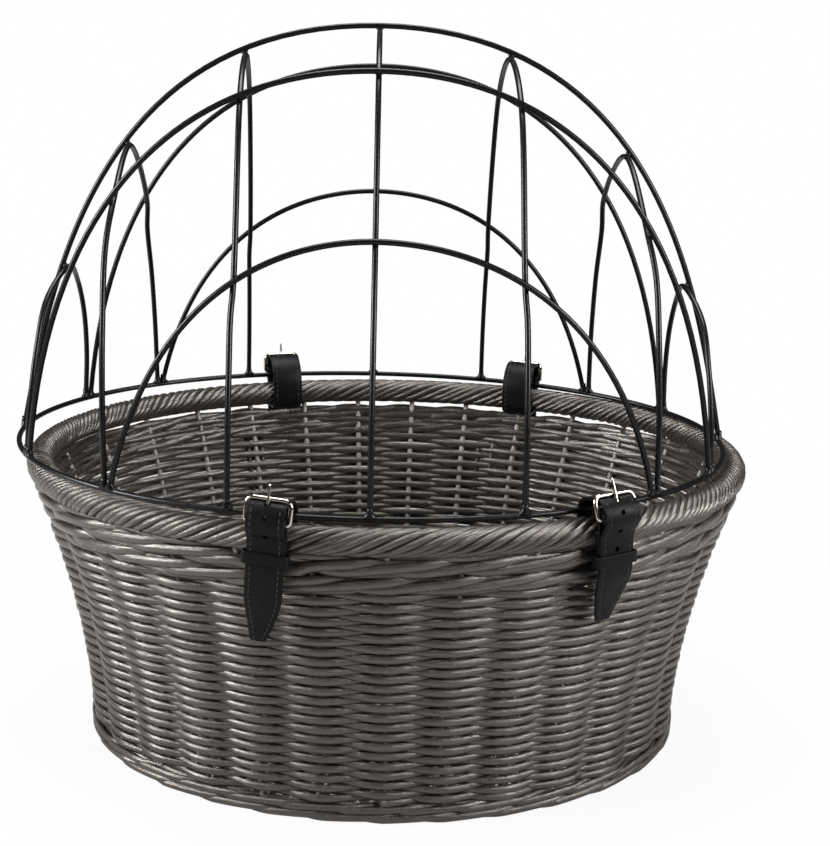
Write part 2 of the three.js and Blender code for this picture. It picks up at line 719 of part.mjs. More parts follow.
  // Buckle frame: its heel bar lies in the fold and its end bar over the tongue
  const buckle = new THREE.Group();
  buckle.position.set(heel.x, heel.y, 0);
  buckle.rotation.z = lean;
  plane.add(buckle);
  const core = barHalf - barChamfer;
  const frameOutline = new THREE.Shape();
  const outX = frameHalfWidth + barHalf + core;
  const roundRect = (shape, x, y0, y1, corner) => {
    shape.moveTo(-x + corner, y0);
    shape.lineTo(x - corner, y0);
    shape.lineTo(x, y0 + corner);
    shape.lineTo(x, y1 - corner);
    shape.lineTo(x - corner, y1);
    shape.lineTo(-x + corner, y1);
    shape.lineTo(-x, y1 - corner);
    shape.lineTo(-x, y0 + corner);
  };
  roundRect(frameOutline, outX, -core, frameLength + core, frameCorner);
  const frameHole = new THREE.Path();
  roundRect(frameHole, frameHalfWidth + barHalf - core, core, frameLength - core, barChamfer);
  frameOutline.holes.push(frameHole);
  const frame = new THREE.ExtrudeGeometry(frameOutline, {
    depth: 2 * core,
    bevelThickness: barChamfer,
    bevelSize: barChamfer,
    bevelSegments: 1,
  });
  frame.translate(0, 0, -core);
  frame.rotateY(-Math.PI / 2);
  addPiece(buckle, `${strap.name}_buckle`, frame, nickel);

  // Prong: a loop round the heel bar and a shaft through the tongue that rests on the end bar
  const prongPath = new THREE.Path();
  prongPath.absarc(0, 0, loopRadius, (5 * Math.PI) / 12, 2 * Math.PI, false);
  prongPath.lineTo(prongBeside, frameLength);
  prongPath.lineTo(prongBeside, frameLength + prongPast);
  const prong = extruded(stripOutline(prongPath.getPoints(curveSteps), prongWidth), prongWidth);
  addPiece(buckle, `${strap.name}_prong`, prong, nickel);
});

export default part;
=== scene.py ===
import math
import random

import bpy
import numpy as np
from bpy.props import FloatProperty, FloatVectorProperty, IntProperty, PointerProperty
from mathutils import Matrix, Vector


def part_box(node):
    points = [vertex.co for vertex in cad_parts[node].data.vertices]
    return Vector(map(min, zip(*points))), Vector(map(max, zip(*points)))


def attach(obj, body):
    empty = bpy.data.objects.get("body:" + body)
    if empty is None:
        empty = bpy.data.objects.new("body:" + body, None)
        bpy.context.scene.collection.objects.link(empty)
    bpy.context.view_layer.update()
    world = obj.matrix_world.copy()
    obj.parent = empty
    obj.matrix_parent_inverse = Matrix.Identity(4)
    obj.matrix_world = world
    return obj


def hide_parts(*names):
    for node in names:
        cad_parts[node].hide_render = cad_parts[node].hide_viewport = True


bl_info = {
    "name": "Bicycle Basket with Wire Dome",
    "version": (1, 0, 0),
    "blender": (4, 5, 0),
    "location": "View3D > Sidebar > Basket",
    "description": "Weaves an oval basket with a rolled border, a wire dome and buckled leather straps",
    "category": "Add Mesh",
}

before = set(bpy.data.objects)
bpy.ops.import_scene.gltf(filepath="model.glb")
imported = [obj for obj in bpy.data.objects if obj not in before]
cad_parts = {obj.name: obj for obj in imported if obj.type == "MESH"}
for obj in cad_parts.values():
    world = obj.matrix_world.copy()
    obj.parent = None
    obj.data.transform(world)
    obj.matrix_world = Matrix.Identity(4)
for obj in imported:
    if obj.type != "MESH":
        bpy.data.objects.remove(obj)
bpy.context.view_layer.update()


# Sizes and colours

def metres(name, default, description):
    return FloatProperty(name=name, description=description, default=default, unit="LENGTH")


def factor(name, default, description):
    return FloatProperty(name=name, description=description, default=default, subtype="FACTOR")


def whole(name, default, description):
    return IntProperty(name=name, description=description, default=default)


def tone(name, default, description):
    return FloatVectorProperty(
        name=name, description=description, default=default, subtype="COLOR", size=3, min=0.0, max=1.0)


class BasketSizes(bpy.types.PropertyGroup):
    """Sizes of the woven basket"""

    border_half_length: metres("Border Half Length", 0.26, "Centre line of the rolled border along X")
    border_half_depth: metres("Border Half Depth", 0.188, "Centre line of the rolled border along Y")
    border_height: metres("Border Height", 0.2175, "Height of the border's centre line")
    border_radius: metres("Border Radius", 0.01, "Outer radius of the rolled border")
    border_strands: whole("Border Strands", 10, "Strands that lie side by side round the border")
    border_turns: whole("Border Turns", 21, "Turns that a strand makes on its way round the basket")
    border_gain: factor("Border Gain", 0.3, "How much looser strands wind at front and back than at the ends")
    base_half_length: metres("Base Half Length", 0.231, "Outside of the wall at the floor along X")
    base_half_depth: metres("Base Half Depth", 0.166, "Outside of the wall at the floor along Y")
    wall_flare: metres("Wall Flare", 0.007, "How far the wall's top stands outside the border's centre line")
    stake_count: whole("Stakes", 29, "Upright stakes round the basket")
    stake_radius: metres("Stake Radius", 0.0022, "Radius of an upright stake")
    stake_inset: metres("Stake Inset", 0.0014, "Stakes' place inside the strands' middle")
    strand_width: metres("Strand Width", 0.0062, "Height of a strand on the wall")
    strand_depth: metres("Strand Depth", 0.0036, "Thickness of a strand, out from the wall")
    strand_sink: metres("Strand Sink", 0.0004, "How far strands press into the stakes")
    inner_swing: factor("Inner Swing", 0.62, "Swing of a strand inside the stakes, as a share of that outside")
    row_pitch: metres("Row Pitch", 0.00385, "Rise of the plain weave in one round")
    weave_bottom: metres("Weave Bottom", 0.0163, "Middle of the plain weave's first row")
    weave_top: metres("Weave Top", 0.2025, "Middle of the plain weave's last row")
    front_rise: metres("Front Rise", 0.0045, "Rise of the plain weave's last row at the front, under the wale")
    back_packing: factor(
        "Back Packing", 0.22, "How much closer the lower rows lie at the back, and wider the upper")
    wale_bottom: metres("Wale Bottom", 0.179, "Height where the wale covers the plain weave")
    wale_pitch: metres("Wale Pitch", 0.0133, "Height of one round of wale")
    wale_swing: metres("Wale Swing", 0.0044, "Climb of a wale's strand to either side of its middle")
    wale_middle: metres("Wale Middle", 0.187, "Middle of the top wale's lower round")
    wale_sag: metres("Wale Sag", 0.0025, "How far the top wale's upper round lies lower at the back")
    foot_middle: metres("Foot Middle", 0.0043, "Middle of the foot's lower round")
    foot_pitch: metres("Foot Pitch", 0.0062, "Height of one round of the foot")
    foot_swing: metres("Foot Swing", 0.0015, "Climb of a foot's strand to either side of its middle")
    foot_round: metres("Foot Round", 0.004, "Radius of the rounded bottom edge")
    base_thickness: metres("Base Thickness", 0.008, "Thickness of the woven base")


class DomeSizes(bpy.types.PropertyGroup):
    """Sizes of the wire dome"""

    wire_radius: metres("Wire Radius", 0.002, "Radius of every wire")
    ring_half_length: metres("Ring Half Length", 0.265, "Half of the ring along X")
    ring_half_depth: metres("Ring Half Depth", 0.19, "Half of the ring along Y")
    tilt: FloatProperty(
        name="Tilt", description="Turn of the dome on the border, left end up",
        default=math.radians(0.4), unit="ROTATION")
    ridge_height: metres("Ridge Height", 0.299, "Crown of the ridge arch above the ring")
    mid_height: metres("Mid Height", 0.27, "Crown of the middle arches above the ring")
    mid_half_depth: metres("Mid Half Depth", 0.0865, "Place of the middle arches' crowns along Y")
    low_height: metres("Low Height", 0.168, "Crown of the low arches above the ring")
    low_half_depth: metres("Low Half Depth", 0.145, "Place of the low arches' crowns along Y")
    weld_width: metres("Weld Width", 0.0052, "Half width of the flared weld under a wire's foot")


class StrapSizes(bpy.types.PropertyGroup):
    """Sizes of the leather straps and their buckles"""

    width: metres("Width", 0.025, "Width of a strap")
    thickness: metres("Thickness", 0.0022, "Thickness of the leather")
    tip_width: metres("Tip Width", 0.0105, "Width of the cut end of the tongue")
    tip_length: metres("Tip Length", 0.034, "Length over which the tongue narrows")
    tip_reach: metres("Tip Reach", 0.002, "Place of the tip outside the border's centre line")
    hole_radius: metres("Hole Radius", 0.0016, "Radius of a spare hole")
    hole_pitch: metres("Hole Pitch", 0.0135, "Distance between holes")
    stitch_pitch: metres("Stitch Pitch", 0.0042, "Distance between stitches")
    stitch_inset: metres("Stitch Inset", 0.0032, "Distance of the seam from the strap's edge")
    keeper_height: metres("Keeper Height", 0.0075, "Height of the keeper loop")
    keeper_slack: metres("Keeper Slack", 0.0015, "Room in the keeper beside the strap")
    keeper_rise: metres("Keeper Rise", 0.0025, "Bottom of the keeper above the loop's lowest stretch")
    buckle_length: metres("Buckle Length", 0.015, "Distance from the heel bar to the end bar")
    bar_radius: metres("Bar Radius", 0.0016, "Radius of the buckle's bars")


class BasketColours(bpy.types.PropertyGroup):
    """Colours of the finishes"""

    strand_light: tone("Strand Light", (0.04, 0.0345, 0.03), "Lighter tone of the woven strands")
    strand_dark: tone("Strand Dark", (0.014, 0.0118, 0.01), "Darker tone of the woven strands")
    stake: tone("Stake", (0.21, 0.20, 0.188), "Tone of the upright stakes")
    wire: tone("Wire", (0.003, 0.003, 0.0034), "Black coat of the dome's wires")
    leather: tone("Leather", (0.0042, 0.004, 0.0042), "Black leather of the straps")
    nickel: tone("Nickel", (0.5, 0.45, 0.4), "Plating of the buckles")
    floor: tone("Floor", (0.42, 0.42, 0.42), "Plain pale floor")


# Weave: points between two stakes, seed of its unevenness, and how far that lifts, bulges and swells a strand
STAKE_STEPS = 8
WEAVE_SEED = 11
UNEVEN_LIFT = 0.00028
UNEVEN_BULGE = 0.00025
UNEVEN_SWELL = 0.025
FLAT_SHARE = 0.76  # a strand's size between two stakes against that over a stake
RISE_POWER = 6  # only the last rows rise at the front
TUCKED_SHARE = 0.9  # how far rows behind the wale keep back
# Wale: strands in a round, their waves round the basket, sharpness of their slant and reach behind a stake
WALE_RODS = 3
WALE_WAVES = 10
WALE_SLANT = 0.97
WALE_INSIDE = -0.4
TOP_WALE_SHARE = 0.55  # half height of a wale's strand, in widths of a plain strand
FOOT_WALE_SHARE = 0.45
# Stakes: how far they run into the border, points along them, and the dark pairs at the back beside two places
STAKE_END = 0.002
STAKE_POINTS = 24
BYE_STAKES = (12.55, 17)
BYE_SPREAD = 0.13
BYE_OUT = 0.001
# Border: a strand's radius, points in one of its turns and its uneven roll and swell
BORDER_STRAND = 0.0025
BORDER_STEPS = 28
BORDER_ROLL = 0.12
BORDER_SWELL = 0.02
CORE_STEPS = 160
# Base: sticks, their half height and flatness, half sizes of a strand and how close strands lie
BASE_INSET = 0.006
BASE_STICKS = 15
STICK_RADIUS = 0.0016
STICK_FLATNESS = 1.4
BASE_STRAND = (0.0027, 0.0013)
BASE_PACKING = 0.88
# Dome's cross arches from left to right: place on the ring, turn towards the back and lean per unit of height
CROSS_ARCHES = (
    (-0.241, 0.05, 0.0795),
    (-0.181, -0.035, -0.004),
    (-0.101, -0.055, 0.017),
    (0.0, 0.0, -0.001),
    (0.0975, -0.007, -0.0126),
    (0.189, -0.022, -0.0313),
    (0.24, -0.005, -0.0588),
)
# Each long arch leans in at its foot, rises and turns into its crown: shares of its half span and height
RIDGE_FORM = (0.093, 0.361, 0.763)
MID_FORM = (0.128, 0.925, 0.261)
LOW_FORM = (0.194, 0.918, 0.219)
GUIDE_SHARES = (0.3, 0.6, 0.85)
RING_STEPS = 192
ARCH_STEPS = 40
FOOT_GAP = 0.0009
CROSSING_GAP = 0.0003
FOOT_SPACING = 0.0012
# Foot welds: heights above the ring, with radii in shares of the weld's half width, then of the wire's radius
WELD_FLARE = ((-0.0004, 1.0), (0.0012, 0.82), (0.0026, 0.5))
WELD_NECK = ((0.0045, 1.12), (0.0068, 1.02))
WELD_SEAT = 0.6  # height of a weld's foot on the ring, in wire radii
BEAD_FORM = (1.35, 1.1, 0.75, 1.0)
# Straps: name, place in shares of the border's half length, side of the basket, length of the tongue below
# the border's centre line, sideways hang in degrees, slack of the loop under the border, sideways drift of
# the tip, lean of the buckle and way of the leather under its end bar in degrees, and foot of the prong's
# hole in shares of the buckle's length
STRAPS = (
    ("front_left", -0.278, -1, 0.0725, -4.0, 0.004, 0.005, 10.0, 14.0, 0.5),
    ("front_right", 0.54, -1, 0.0635, 2.0, 0.01, 0.0, 24.0, 14.0, 0.4),
    ("back_left", -0.3423, 1, 0.0615, 0.0, 0.001, 0.0, 3.8, -45.0, 0.125),
    ("back_right", 0.4558, 1, 0.0615, 0.0, 0.001, 0.0, 3.8, -45.0, 0.125),
)
PASS_REACH = 0.0106  # handles of the leather's curve before and after the end bar
PASS_LEAVE = 0.0053
TIP_POWER = 1.25
FIRST_HOLE = 0.005  # above the heel bar
SPARE_HOLES = 3
HOLE_TOP = 0.85  # of the prong's hole, in shares of the buckle's length
HOLE_PLAY = (0.0015, 0.0008)  # beside the prong, out of the leather and along its width
TOUCH = 0.0003  # gap between faces that lie on each other
SLOT_ROOM = 0.0006
STAKE_ROOM = 0.003
KEEPER_THICKNESS = 0.0014
KEEPER_CORNER = (0.0016, 5)  # radius and steps of each corner, here and below
RING_SWING = 0.004  # room for the ring at the back, where the dome tilts
CORE_BAR = 0.0013
CORE_REACH = math.hypot(CORE_BAR, 0.0008)  # from the middle of a bar's solid to its corner
PRONG_WIDTH = 0.0022
PRONG_PAST = 0.010
PRONG_BESIDE = CORE_BAR + TOUCH + PRONG_WIDTH / 2
PRONG_TAPER = (8, 0.055)  # points at its tip, and what each takes off
HEEL_RISE = 0.001
HEEL_CORNER = (0.002, 6)
END_CORNER = (0.0045, 8)
LEATHER_EDGE = 0.00045
KEEPER_EDGE = 0.0004
STITCH_FORM = (0.36, 0.0003, 0.0005)  # half length in pitches, half height and half width
SMOOTH_ANGLE = math.radians(42)
# Lights: name, place, size and power; all face the basket's middle
LIGHTS = (
    ("left_softbox", (-1.6, -0.45, 0.95), 0.8, 62.0),
    ("right_softbox", (1.4, -0.85, 0.95), 0.8, 46.0),
    ("top_softbox", (0.0, 0.3, 1.9), 1.1, 46.0),
)
LIGHT_TARGET = Vector((0.0, 0.0, 0.22))
FLOOR_SIZE = 30.0
CAMERA_PLACE = (-0.0083, -0.9669, 0.5202)
CAMERA_PITCH = math.radians(90.0 - 16.1)
CAMERA_ROLL = math.radians(0.83)
CAMERA_LENS = 56.4
CAMERA_SHIFT = 0.0467
WHITE = (1.0, 1.0, 1.0, 1.0)


# Working as by hand: pick, shape, finish

def deselect():
    if bpy.context.object and bpy.context.object.mode != "OBJECT":
        bpy.ops.object.mode_set(mode="OBJECT")
    bpy.ops.object.select_all(action="DESELECT")


def pick(*pieces):
    deselect()
    for piece in pieces:
        piece.select_set(True)
    bpy.context.view_layer.objects.active = pieces[0]


def face_out(piece):
    """Merges doubles and turns every face outwards."""
    pick(piece)
    bpy.ops.object.mode_set(mode="EDIT")
    bpy.ops.mesh.select_all(action="SELECT")
    bpy.ops.mesh.remove_doubles(threshold=1e-6)
    bpy.ops.mesh.normals_make_consistent(inside=False)
    bpy.ops.object.mode_set(mode="OBJECT")


def apply_modifiers(piece):
    pick(piece)
    for modifier in list(piece.modifiers):
        bpy.ops.object.modifier_apply(modifier=modifier.name)


def stamped(mesh, places):
    """Copies of a mesh, one at each place"""
    made = []
    for place in places:
        copy = bpy.data.objects.new("copy", mesh.copy())
        copy.data.transform(place)
        bpy.context.collection.objects.link(copy)
        made.append(copy)
    return made


def joined(name, pieces):
    pick(*pieces)
    bpy.ops.object.join()
    whole_piece = bpy.context.object
    whole_piece.name = whole_piece.data.name = name
    return whole_piece


def finish_piece(piece, finish, body, slot, *nodes):
    """Gives a piece its finish, its body and the CAD nodes that it stands for."""
    piece.data.materials.clear()
    piece.data.materials.append(finish_of(finish))
    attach(piece, body)
    if nodes:
        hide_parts(*nodes)


def new_curve(dimensions):
    deselect()
    bpy.ops.curve.primitive_bezier_curve_add()
    piece = bpy.context.object
    piece.data.splines.clear()
    piece.data.dimensions = dimensions
    return piece


def add_spline(curve, path, closed):
    spline = curve.splines.new("POLY")
    spline.points.add(len(path) - 1)
    spline.points.foreach_set("co", np.column_stack([path, np.ones(len(path))]).ravel())
    spline.use_cyclic_u = closed
    return spline


def to_mesh(piece, name):
    pick(piece)
    bpy.ops.object.convert(target="MESH")
    piece = bpy.context.object
    piece.name = piece.data.name = name
    return piece


def oval_section(half_across, half_up, sides):
    """Closed outline of a strand, as a curve for other curves to follow with"""
    angles = [2 * math.pi * (i + 0.5) / sides for i in range(sides)]
    section = new_curve("3D")
    path = [(half_across * math.cos(angle), half_up * math.sin(angle), 0.0) for angle in angles]
    add_spline(section.data, path, True)
    return section


def strands(name, paths, half_across, half_up, sides=8, closed=False, radii=None, twist="Z_UP"):
    """Strands along paths of points, each an even section, made as a curve and turned into a mesh.
    The UV map's first number is the run along the strand in metres, its second the way round."""
    piece = new_curve("3D")
    curve = piece.data
    curve.twist_mode = twist
    length = 0.0
    for path in paths:
        path = np.asarray(path, dtype=float)
        spline = add_spline(curve, path, closed)
        if radii is not None:
            spline.points.foreach_set("radius", radii)
        length += np.linalg.norm(np.diff(path, axis=0), axis=1).sum() / len(paths)
    section = oval_section(half_across, half_up, sides)
    curve.bevel_mode = "OBJECT"
    curve.bevel_object = section
    curve.use_fill_caps = not closed
    piece = to_mesh(piece, name)
    bpy.data.objects.remove(section)
    layer = piece.data.uv_layers[0].data
    uv = np.empty(2 * len(layer))
    layer.foreach_get("uv", uv)
    uv[0::2] *= length
    layer.foreach_set("uv", uv)
    face_out(piece)
    bpy.ops.object.shade_smooth()
    return piece


def clamp(value, low=0.0, high=1.0):
    return min(max(value, low), high)


def ease(share):
    return share * share * (3 - 2 * share)


# Basket's oval

def oval(half_length, half_depth, z, turn):
    """Point of an oval, with turns from the front's middle"""
    return (half_length * math.sin(turn), -half_depth * math.cos(turn), z)


def flare_at(b, z):
    underside = b.border_height - b.border_radius
    return (max(z, 0.0) / underside) ** 2


def squeeze_at(b, z):
    base = b.base_half_length - b.base_half_depth
    border = b.border_half_length - b.border_half_depth
    return base + (border - base) * min(flare_at(b, z), 1.0)


def outside_at(b, z):
    """Half length of the wall's outside at a height, drawn in at the rounded foot"""
    top = b.border_half_length + b.wall_flare
    drawn_in = 0.0
    if z < b.foot_round:
        drawn_in = b.foot_round - math.sqrt(b.foot_round ** 2 - (b.foot_round - z) ** 2)
    return b.base_half_length + (top - b.base_half_length) * flare_at(b, z) - drawn_in


def weave_swing(b):
    return b.stake_radius + b.strand_depth / 2 - b.strand_sink


def weave_line(b):
    """Depth of the stakes' centre line behind the wall's outside"""
    return weave_swing(b) + b.strand_depth / 2


def wall_point(b, turn, z, out, planes=(), half=0.0):
    """Point of a strand or stake of the wall, moved up or down where straps pass"""
    half_length = outside_at(b, z) - weave_line(b) + out
    x, y, z = oval(half_length, half_length - squeeze_at(b, z), z, turn)
    for plane in planes:
        z = plane.pushed(x, y, z, half)
    return (x, y, z)


def backness(turn):
    """Nought at the front of the oval and one at its back"""
    return (1 - math.cos(turn)) / 2


class EvenTurns:
    """Turn of the oval at a number of stakes from the front's middle, with the stakes evenly spaced"""

    def __init__(self, b, steps=1440):
        turns = np.linspace(0.0, 2 * math.pi, steps + 1)
        middle = (turns[1:] + turns[:-1]) / 2
        pace = np.hypot(b.border_half_length * np.cos(middle), b.border_half_depth * np.sin(middle))
        run = np.concatenate([[0.0], np.cumsum(pace)])
        self.share = run / run[-1]
        self.turns = turns
        self.count = b.stake_count

    def at(self, stake):
        rounds, share = divmod(stake / self.count, 1.0)
        return 2 * math.pi * rounds + float(np.interp(share, self.share, self.turns))


# Finishes

def add_node(finish, kind, **settings):
    """Adds a node; each setting is one of its attributes or inputs."""
    node = finish.node_tree.nodes.new(kind)
    for key, value in settings.items():
        if hasattr(node, key):
            setattr(node, key, value)
        else:
            node.inputs[key.replace("_", " ").title()].default_value = value
    return node


def link(finish, source, target):
    finish.node_tree.links.new(source, target)


def new_finish(name, colour, roughness, specular=0.5, metallic=0.0):
    finish = bpy.data.materials.new(name)
    finish.use_nodes = True
    shader = finish.node_tree.nodes["Principled BSDF"]
    shader.inputs["Base Color"].default_value = (*colour, 1.0)
    shader.inputs["Roughness"].default_value = roughness
    shader.inputs["Specular IOR Level"].default_value = specular
    shader.inputs["Metallic"].default_value = metallic
    finish.diffuse_color = (*colour, 1.0)
    return finish, shader


def object_place(finish):
    """Where a point lies on its piece, for what doesn't follow the UV map"""
    return add_node(finish, "ShaderNodeTexCoord").outputs["Object"]


def noise(finish, place, scale, detail, roughness):
    node = add_node(finish, "ShaderNodeTexNoise", scale=scale, detail=detail, roughness=roughness)
    link(finish, place, node.inputs["Vector"])
    return node.outputs["Fac"]


def ramp(finish, source, low, high, start=0.3, end=0.7, **settings):
    """Spreads a range, or else a noise's middle range, between two numbers."""
    node = add_node(finish, "ShaderNodeMapRange", from_min=start, from_max=end, to_min=low, to_max=high,
                    **settings)
    link(finish, source, node.inputs["Value"])
    return node.outputs["Result"]


def relief(finish, shader, height, distance, strength):
    bump = add_node(finish, "ShaderNodeBump", distance=distance, strength=strength)
    link(finish, height, bump.inputs["Height"])
    link(finish, bump.outputs["Normal"], shader.inputs["Normal"])


def wicker_finish(name, light, dark):
    """Moulded strand: fine grooves along it, darker and lighter runs, satin"""
    finish, shader = new_finish(name, light, 0.4, 0.9)
    shader.inputs["Specular Tint"].default_value = (1.0, 0.93, 0.87, 1.0)
    run = add_node(finish, "ShaderNodeUVMap", uv_map="UVMap")
    stretch = add_node(finish, "ShaderNodeMapping", scale=(22.0, 22.0, 1.0))
    link(finish, run.outputs["UV"], stretch.inputs["Vector"])
    grain = noise(finish, stretch.outputs["Vector"], 1.0, 4.0, 0.65)
    patch = noise(finish, object_place(finish), 55.0, 2.0, 0.5)
    both = add_node(finish, "ShaderNodeMath", operation="ADD")
    link(finish, ramp(finish, grain, 0.0, 0.55), both.inputs[0])
    link(finish, ramp(finish, patch, 0.0, 0.45), both.inputs[1])
    mix = add_node(finish, "ShaderNodeMix", data_type="RGBA")
    link(finish, both.outputs["Value"], mix.inputs["Factor"])
    mix.inputs[6].default_value = (*dark, 1.0)
    mix.inputs[7].default_value = (*light, 1.0)
    link(finish, mix.outputs[2], shader.inputs["Base Color"])
    link(finish, ramp(finish, grain, 0.36, 0.2), shader.inputs["Roughness"])
    relief(finish, shader, grain, 0.0005, 0.8)
    return finish


def wire_finish(colour):
    """Black powder coat with a faint orange peel"""
    finish, shader = new_finish("black_coat", colour, 0.3, 0.2)
    peel = noise(finish, object_place(finish), 620.0, 2.0, 0.5)
    link(finish, ramp(finish, peel, 0.24, 0.36), shader.inputs["Roughness"])
    relief(finish, shader, peel, 0.00006, 0.5)
    return finish


def leather_finish(name, colour):
    """Smooth black leather: fine pores, soft creases, satin"""
    finish, shader = new_finish(name, colour, 0.4, 0.08)
    place = object_place(finish)
    pores = add_node(finish, "ShaderNodeTexVoronoi", scale=1100.0)
    link(finish, place, pores.inputs["Vector"])
    crease = noise(finish, place, 180.0, 5.0, 0.6)
    both = add_node(finish, "ShaderNodeMath", operation="MULTIPLY_ADD")
    link(finish, crease, both.inputs[0])
    both.inputs[1].default_value = 1.6
    link(finish, pores.outputs["Distance"], both.inputs[2])
    link(finish, ramp(finish, crease, 0.34, 0.5), shader.inputs["Roughness"])
    relief(finish, shader, both.outputs["Value"], 0.00018, 0.5)
    return finish


def nickel_finish(colour):
    """Bright plating with faint wear"""
    finish, shader = new_finish("bright_nickel", colour, 0.14, metallic=1.0)
    wear = noise(finish, object_place(finish), 240.0, 4.0, 0.6)
    link(finish, ramp(finish, wear, 0.09, 0.24), shader.inputs["Roughness"])
    return finish


FINISHES = {}


def finish_of(name):
    """A finish by its name; all are made when the first piece asks for one."""
    if not FINISHES:
        colours = bpy.context.scene.basket_colours
        # Near-black finish: painted shade on the border's core, where it shows between the strands, and the
        # dark bye-stakes
        black_and_painted_shade = [0.25 * c for c in colours.strand_dark]
        FINISHES["strand"] = wicker_finish("grey_strand", colours.strand_light, colours.strand_dark)
        FINISHES["stake"] = wicker_finish("pale_stake", colours.stake, [0.55 * c for c in colours.stake])
        FINISHES["black_and_painted_shade"] = wicker_finish("black_rod_and_painted_shade", black_and_painted_shade, [0.5 * c for c in black_and_painted_shade])
        FINISHES["wire"] = wire_finish(colours.wire)
        FINISHES["leather"] = leather_finish("smooth_leather", colours.leather)
        FINISHES["thread"] = leather_finish("dark_thread", [6 * c for c in colours.leather])
        FINISHES["nickel"] = nickel_finish(colours.nickel)
    return FINISHES[name]


# Weave

class BASKET_OT_randing(bpy.types.Operator):
    """Weaves one long strand in front of a stake and behind the next, round and round up the wall"""

    bl_idname = "basket.randing"
    bl_label = "Plain Weave"

    def execute(self, context):
        b = context.scene.basket_sizes
        turns = EvenTurns(b)
        planes = strap_planes(context.scene)
        draw = random.Random(WEAVE_SEED)
        rise = b.weave_top - b.weave_bottom
        rounds = rise / b.row_pitch + 1
        total = int(rounds * b.stake_count)
        lift = [draw.uniform(-1, 1) for _ in range(total + 2)]
        bulge = [draw.uniform(-1, 1) for _ in range(total + 2)]
        path = []
        radii = []
        for i in range(total * STAKE_STEPS + 1):
            stake, part = divmod(i, STAKE_STEPS)
            eased = ease(part / STAKE_STEPS)
            jitter = lift[stake] + (lift[stake + 1] - lift[stake]) * eased
            swell = bulge[stake] + (bulge[stake + 1] - bulge[stake]) * eased
            along = i / STAKE_STEPS
            turn = turns.at(along)
            share = clamp((along / b.stake_count - 0.5) / (rounds - 1))
            packed = b.back_packing * backness(turn)
            z = b.weave_bottom + rise * (share + packed * (share * share - share)) + UNEVEN_LIFT * jitter
            z += b.front_rise * (1 - backness(turn)) * share ** RISE_POWER
            wave = math.cos(math.pi * along)
            cover = clamp((z - b.wale_bottom) / b.row_pitch)
            reach = 1.0 - TUCKED_SHARE * cover if wave > 0 else b.inner_swing
            out = weave_swing(b) * wave * reach + UNEVEN_BULGE * swell
            path.append(wall_point(b, turn, z, out, planes, b.strand_width / 2))
            size = FLAT_SHARE + (1 - FLAT_SHARE) * abs(wave)
            radii.append(size * (1 + packed * (share - 0.5)) + UNEVEN_SWELL * swell)
        piece = strands("wall_weave", [path], b.strand_depth / 2, b.strand_width / 2, radii=radii)
        finish_piece(piece, "strand", "basket", "wicker", "woven_wall")
        return {"FINISHED"}


def wale_paths(b, planes, middle, swing, half, first, sag=0.0):
    """A round of wale: three strands, each in front of two stakes and behind one, that twine like a rope.
    Straps that pass push the strands apart."""
    turns = EvenTurns(b)
    total = b.stake_count * STAKE_STEPS
    paths = []
    for rod in range(WALE_RODS):
        path = []
        for i in range(total):
            wave = 2 * math.pi * (WALE_WAVES * i / total - (rod + first) / WALE_RODS)
            out = weave_swing(b) * clamp(-(4 / 3 * math.cos(wave) - 1 / 3), WALE_INSIDE)
            turn = turns.at(i / STAKE_STEPS)
            slant = 2 / math.pi * math.asin(WALE_SLANT * math.sin(wave))
            z = middle - swing * slant - sag * backness(turn) ** 2
            path.append(wall_point(b, turn, z, out, planes, half))
        paths.append(path)
    return paths


class BASKET_OT_wales(bpy.types.Operator):
    """Adds the wales: two rounds twined at the top of the wall and two finer ones at its foot"""

    bl_idname = "basket.wales"
    bl_label = "Wales"

    def execute(self, context):
        b = context.scene.basket_sizes
        planes = strap_planes(context.scene)
        half = TOP_WALE_SHARE * b.strand_width
        upper = b.wale_middle + b.wale_pitch
        paths = wale_paths(b, planes, b.wale_middle, b.wale_swing, half, 0.0, b.wale_sag / 2)
        paths += wale_paths(b, planes, upper, b.wale_swing, half, 0.5, b.wale_sag)
        top = strands("top_wale", paths, b.strand_depth / 2, half, closed=True)
        finish_piece(top, "strand", "basket", "wicker")
        half = FOOT_WALE_SHARE * b.strand_width
        paths = wale_paths(b, [], b.foot_middle, b.foot_swing, half, 0.0)
        paths += wale_paths(b, [], b.foot_middle + b.foot_pitch, b.foot_swing, half, 0.4)
        foot = strands("foot_wale", paths, b.strand_depth / 2, half, closed=True)
        finish_piece(foot, "strand", "basket", "wicker", "foot_border")
        return {"FINISHED"}


class BASKET_OT_stakes(bpy.types.Operator):
    """Sets the upright stakes and the dark bye-stakes beside two of them at the back"""

    bl_idname = "basket.stakes"
    bl_label = "Stakes"

    def execute(self, context):
        b = context.scene.basket_sizes
        turns = EvenTurns(b)
        high = b.border_height - b.border_radius + STAKE_END
        planes = strap_planes(context.scene)
        paths = []
        for i in range(b.stake_count):
            turn = turns.at(i)
            top = wall_point(b, turn, high, 0.0)
            end = min(plane.ceiling(top, high) for plane in planes)
            paths.append(self.stake_path(b, turn, end, -b.stake_inset))
        piece = strands("stakes", paths, b.stake_radius, b.stake_radius, twist="MINIMUM")
        finish_piece(piece, "stake", "basket", "wicker_dark", "stake_frame")
        paths = [self.stake_path(b, turns.at(stake + step), b.wale_bottom, BYE_OUT)
                 for stake in BYE_STAKES for step in (-BYE_SPREAD, BYE_SPREAD)]
        piece = strands("bye_stakes", paths, b.stake_radius, b.stake_radius, twist="MINIMUM")
        # The dark bye-stakes share the near-black finish that is painted shade on the border's core
        finish_piece(piece, "black_and_painted_shade", "basket", "wicker_dark")
        return {"FINISHED"}

    @staticmethod
    def stake_path(b, turn, high, out):
        low = b.base_thickness / 2
        heights = [low + (high - low) * k / STAKE_POINTS for k in range(STAKE_POINTS + 1)]
        return [wall_point(b, turn, z, out) for z in heights]


